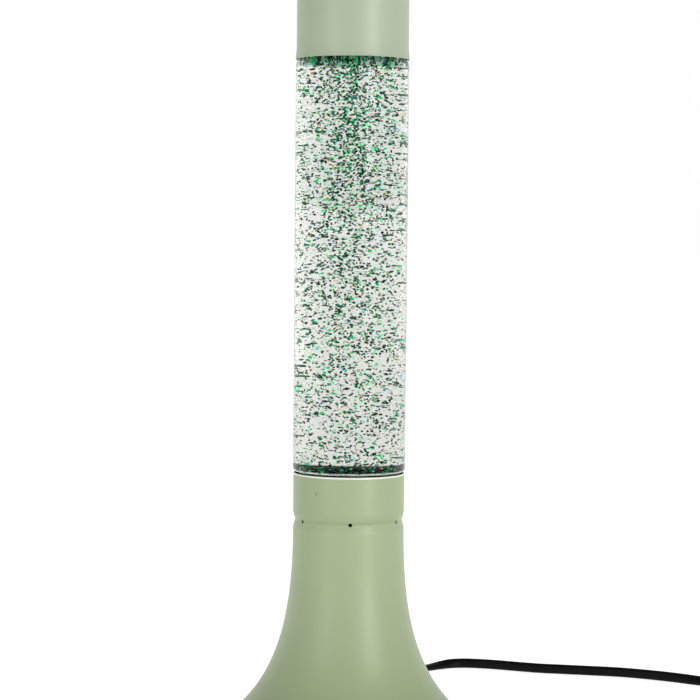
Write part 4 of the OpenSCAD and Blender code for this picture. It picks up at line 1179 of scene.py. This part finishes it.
# %% [markdown]
# The insides of the base and the cap are painted a dark green as painted shade, since little light
# reaches them. A face is inside if it looks towards the axis, or down from under the cap's top. The
# collar's top edge is painted pale for its last millimetre as painted light, for the bright line
# where the backdrop shows through the glass.


# %% Tell the inside of a spun sheet from its outside
RIM_HIGH = 0.9
TURNED_AWAY, UNDER_TOP = -0.3, 12


def faces_in(face):
    outwards = face.normal.x * face.center.x + face.normal.y * face.center.y
    reach = hypot(face.center.x, face.center.y)
    under_top = face.normal.z < TURNED_AWAY and face.center.z > (LAMP_TOP - UNDER_TOP) * MM
    return under_top or (reach > 0 and outwards / reach < TURNED_AWAY)


# %% [markdown]
# Each piece now takes the finish of its material slot, and so does each node that is shown as the
# solid model has it. A node brings plain slots with it, which are filled in place.

# %% Dress every piece
for part in frame["record"]["subparts"]:
    for held in frame["nodes"][part["node"]].material_slots:
        held.material = FINISHES.get(part["material_slot"], held.material)
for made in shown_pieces():
    if not made.data.materials:
        made.data.materials.append(FINISHES[made["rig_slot"]])
# The insides of the base and the cap take painted shade.
for made in (base, cap):
    made.data.materials.append(FINISHES["inside"])
    made.data.materials.append(FINISHES["rim"])
    for face in made.data.polygons:
        # The collar's top millimetre takes painted light.
        on_rim = made == base and face.center.z > (BASE_TOP - RIM_HIGH) * MM
        face.material_index = 1 if faces_in(face) else 2 if on_rim else 0

# %% [markdown]
# ## Floor, light and sky
# The lamp stands on a plain white floor, which glows a little so that it stays white as far as the
# horizon. The sky is a soft white tent: full round the horizon and dimmer overhead. A tall soft
# light at the right of the camera makes the wide highlight on the paint, and a weaker one at the left
# makes the second.

# %% Lay the floor
FLOOR_HALF, FLOOR_DROP, FLOOR_GLOW = 40.0, 0.0002, 0.7
floor_mesh = bpy.data.meshes.new("floor")
floor_corners = [(FLOOR_HALF * x, FLOOR_HALF * y, -FLOOR_DROP) for x, y in ((-1, -1), (1, -1), (1, 1), (-1, 1))]
floor_mesh.from_pydata(floor_corners, [], [(0, 1, 2, 3)])
placed("floor", floor_mesh)
sweep = Finish("white_sweep")
floor_mesh.materials.append(closed(sweep, {
    "Base Color": between(sweep, grain(sweep, place(sweep), 300, 2), (0.90, 0.90, 0.90), (0.93, 0.93, 0.93)),
    "Roughness": 0.8,
    "Emission Color": (1, 1, 1, 1),
    "Emission Strength": FLOOR_GLOW,
}))

# %% Light the scene
scene.view_settings.view_transform = "Standard"
HORIZON, HIGH_UP, OVERHEAD = 1.0, 0.35, 0.25
SKY = [(0.0, HORIZON), (0.15, HORIZON), (0.6, HIGH_UP), (1.0, OVERHEAD)]

tent = Finish("white_tent", bpy.data.worlds)
up = height_of(tent, tent.node("ShaderNodeTexCoord", out="Generated"))
shade = tent.node("ShaderNodeValToRGB", {0: up}, stops=SKY)
tent.node("ShaderNodeOutputWorld", {0: tent.node("ShaderNodeBackground", {0: shade, 1: 1.0})})
scene.world = tent.material


def soft_light(name, azimuth, elevation, distance, wide, tall, power):
    lamp = bpy.data.lights.new(name, "AREA")
    lamp.shape, lamp.size, lamp.size_y, lamp.energy = "RECTANGLE", wide, tall, power
    holder = placed(name, lamp)
    a, e = radians(azimuth), radians(elevation)
    towards = Vector((sin(a) * cos(e), -cos(a) * cos(e), sin(e)))
    target = Vector((0, 0, LAMP_TOP / 2 * MM))
    holder.location = target + towards * distance
    holder.rotation_mode = "QUATERNION"
    holder.rotation_quaternion = towards.to_track_quat("Z", "Y")


soft_light("key", 40, 8, 1.6, 0.60, 1.1, 11)
soft_light("fill", -40, 8, 1.7, 0.50, 1.1, 4)
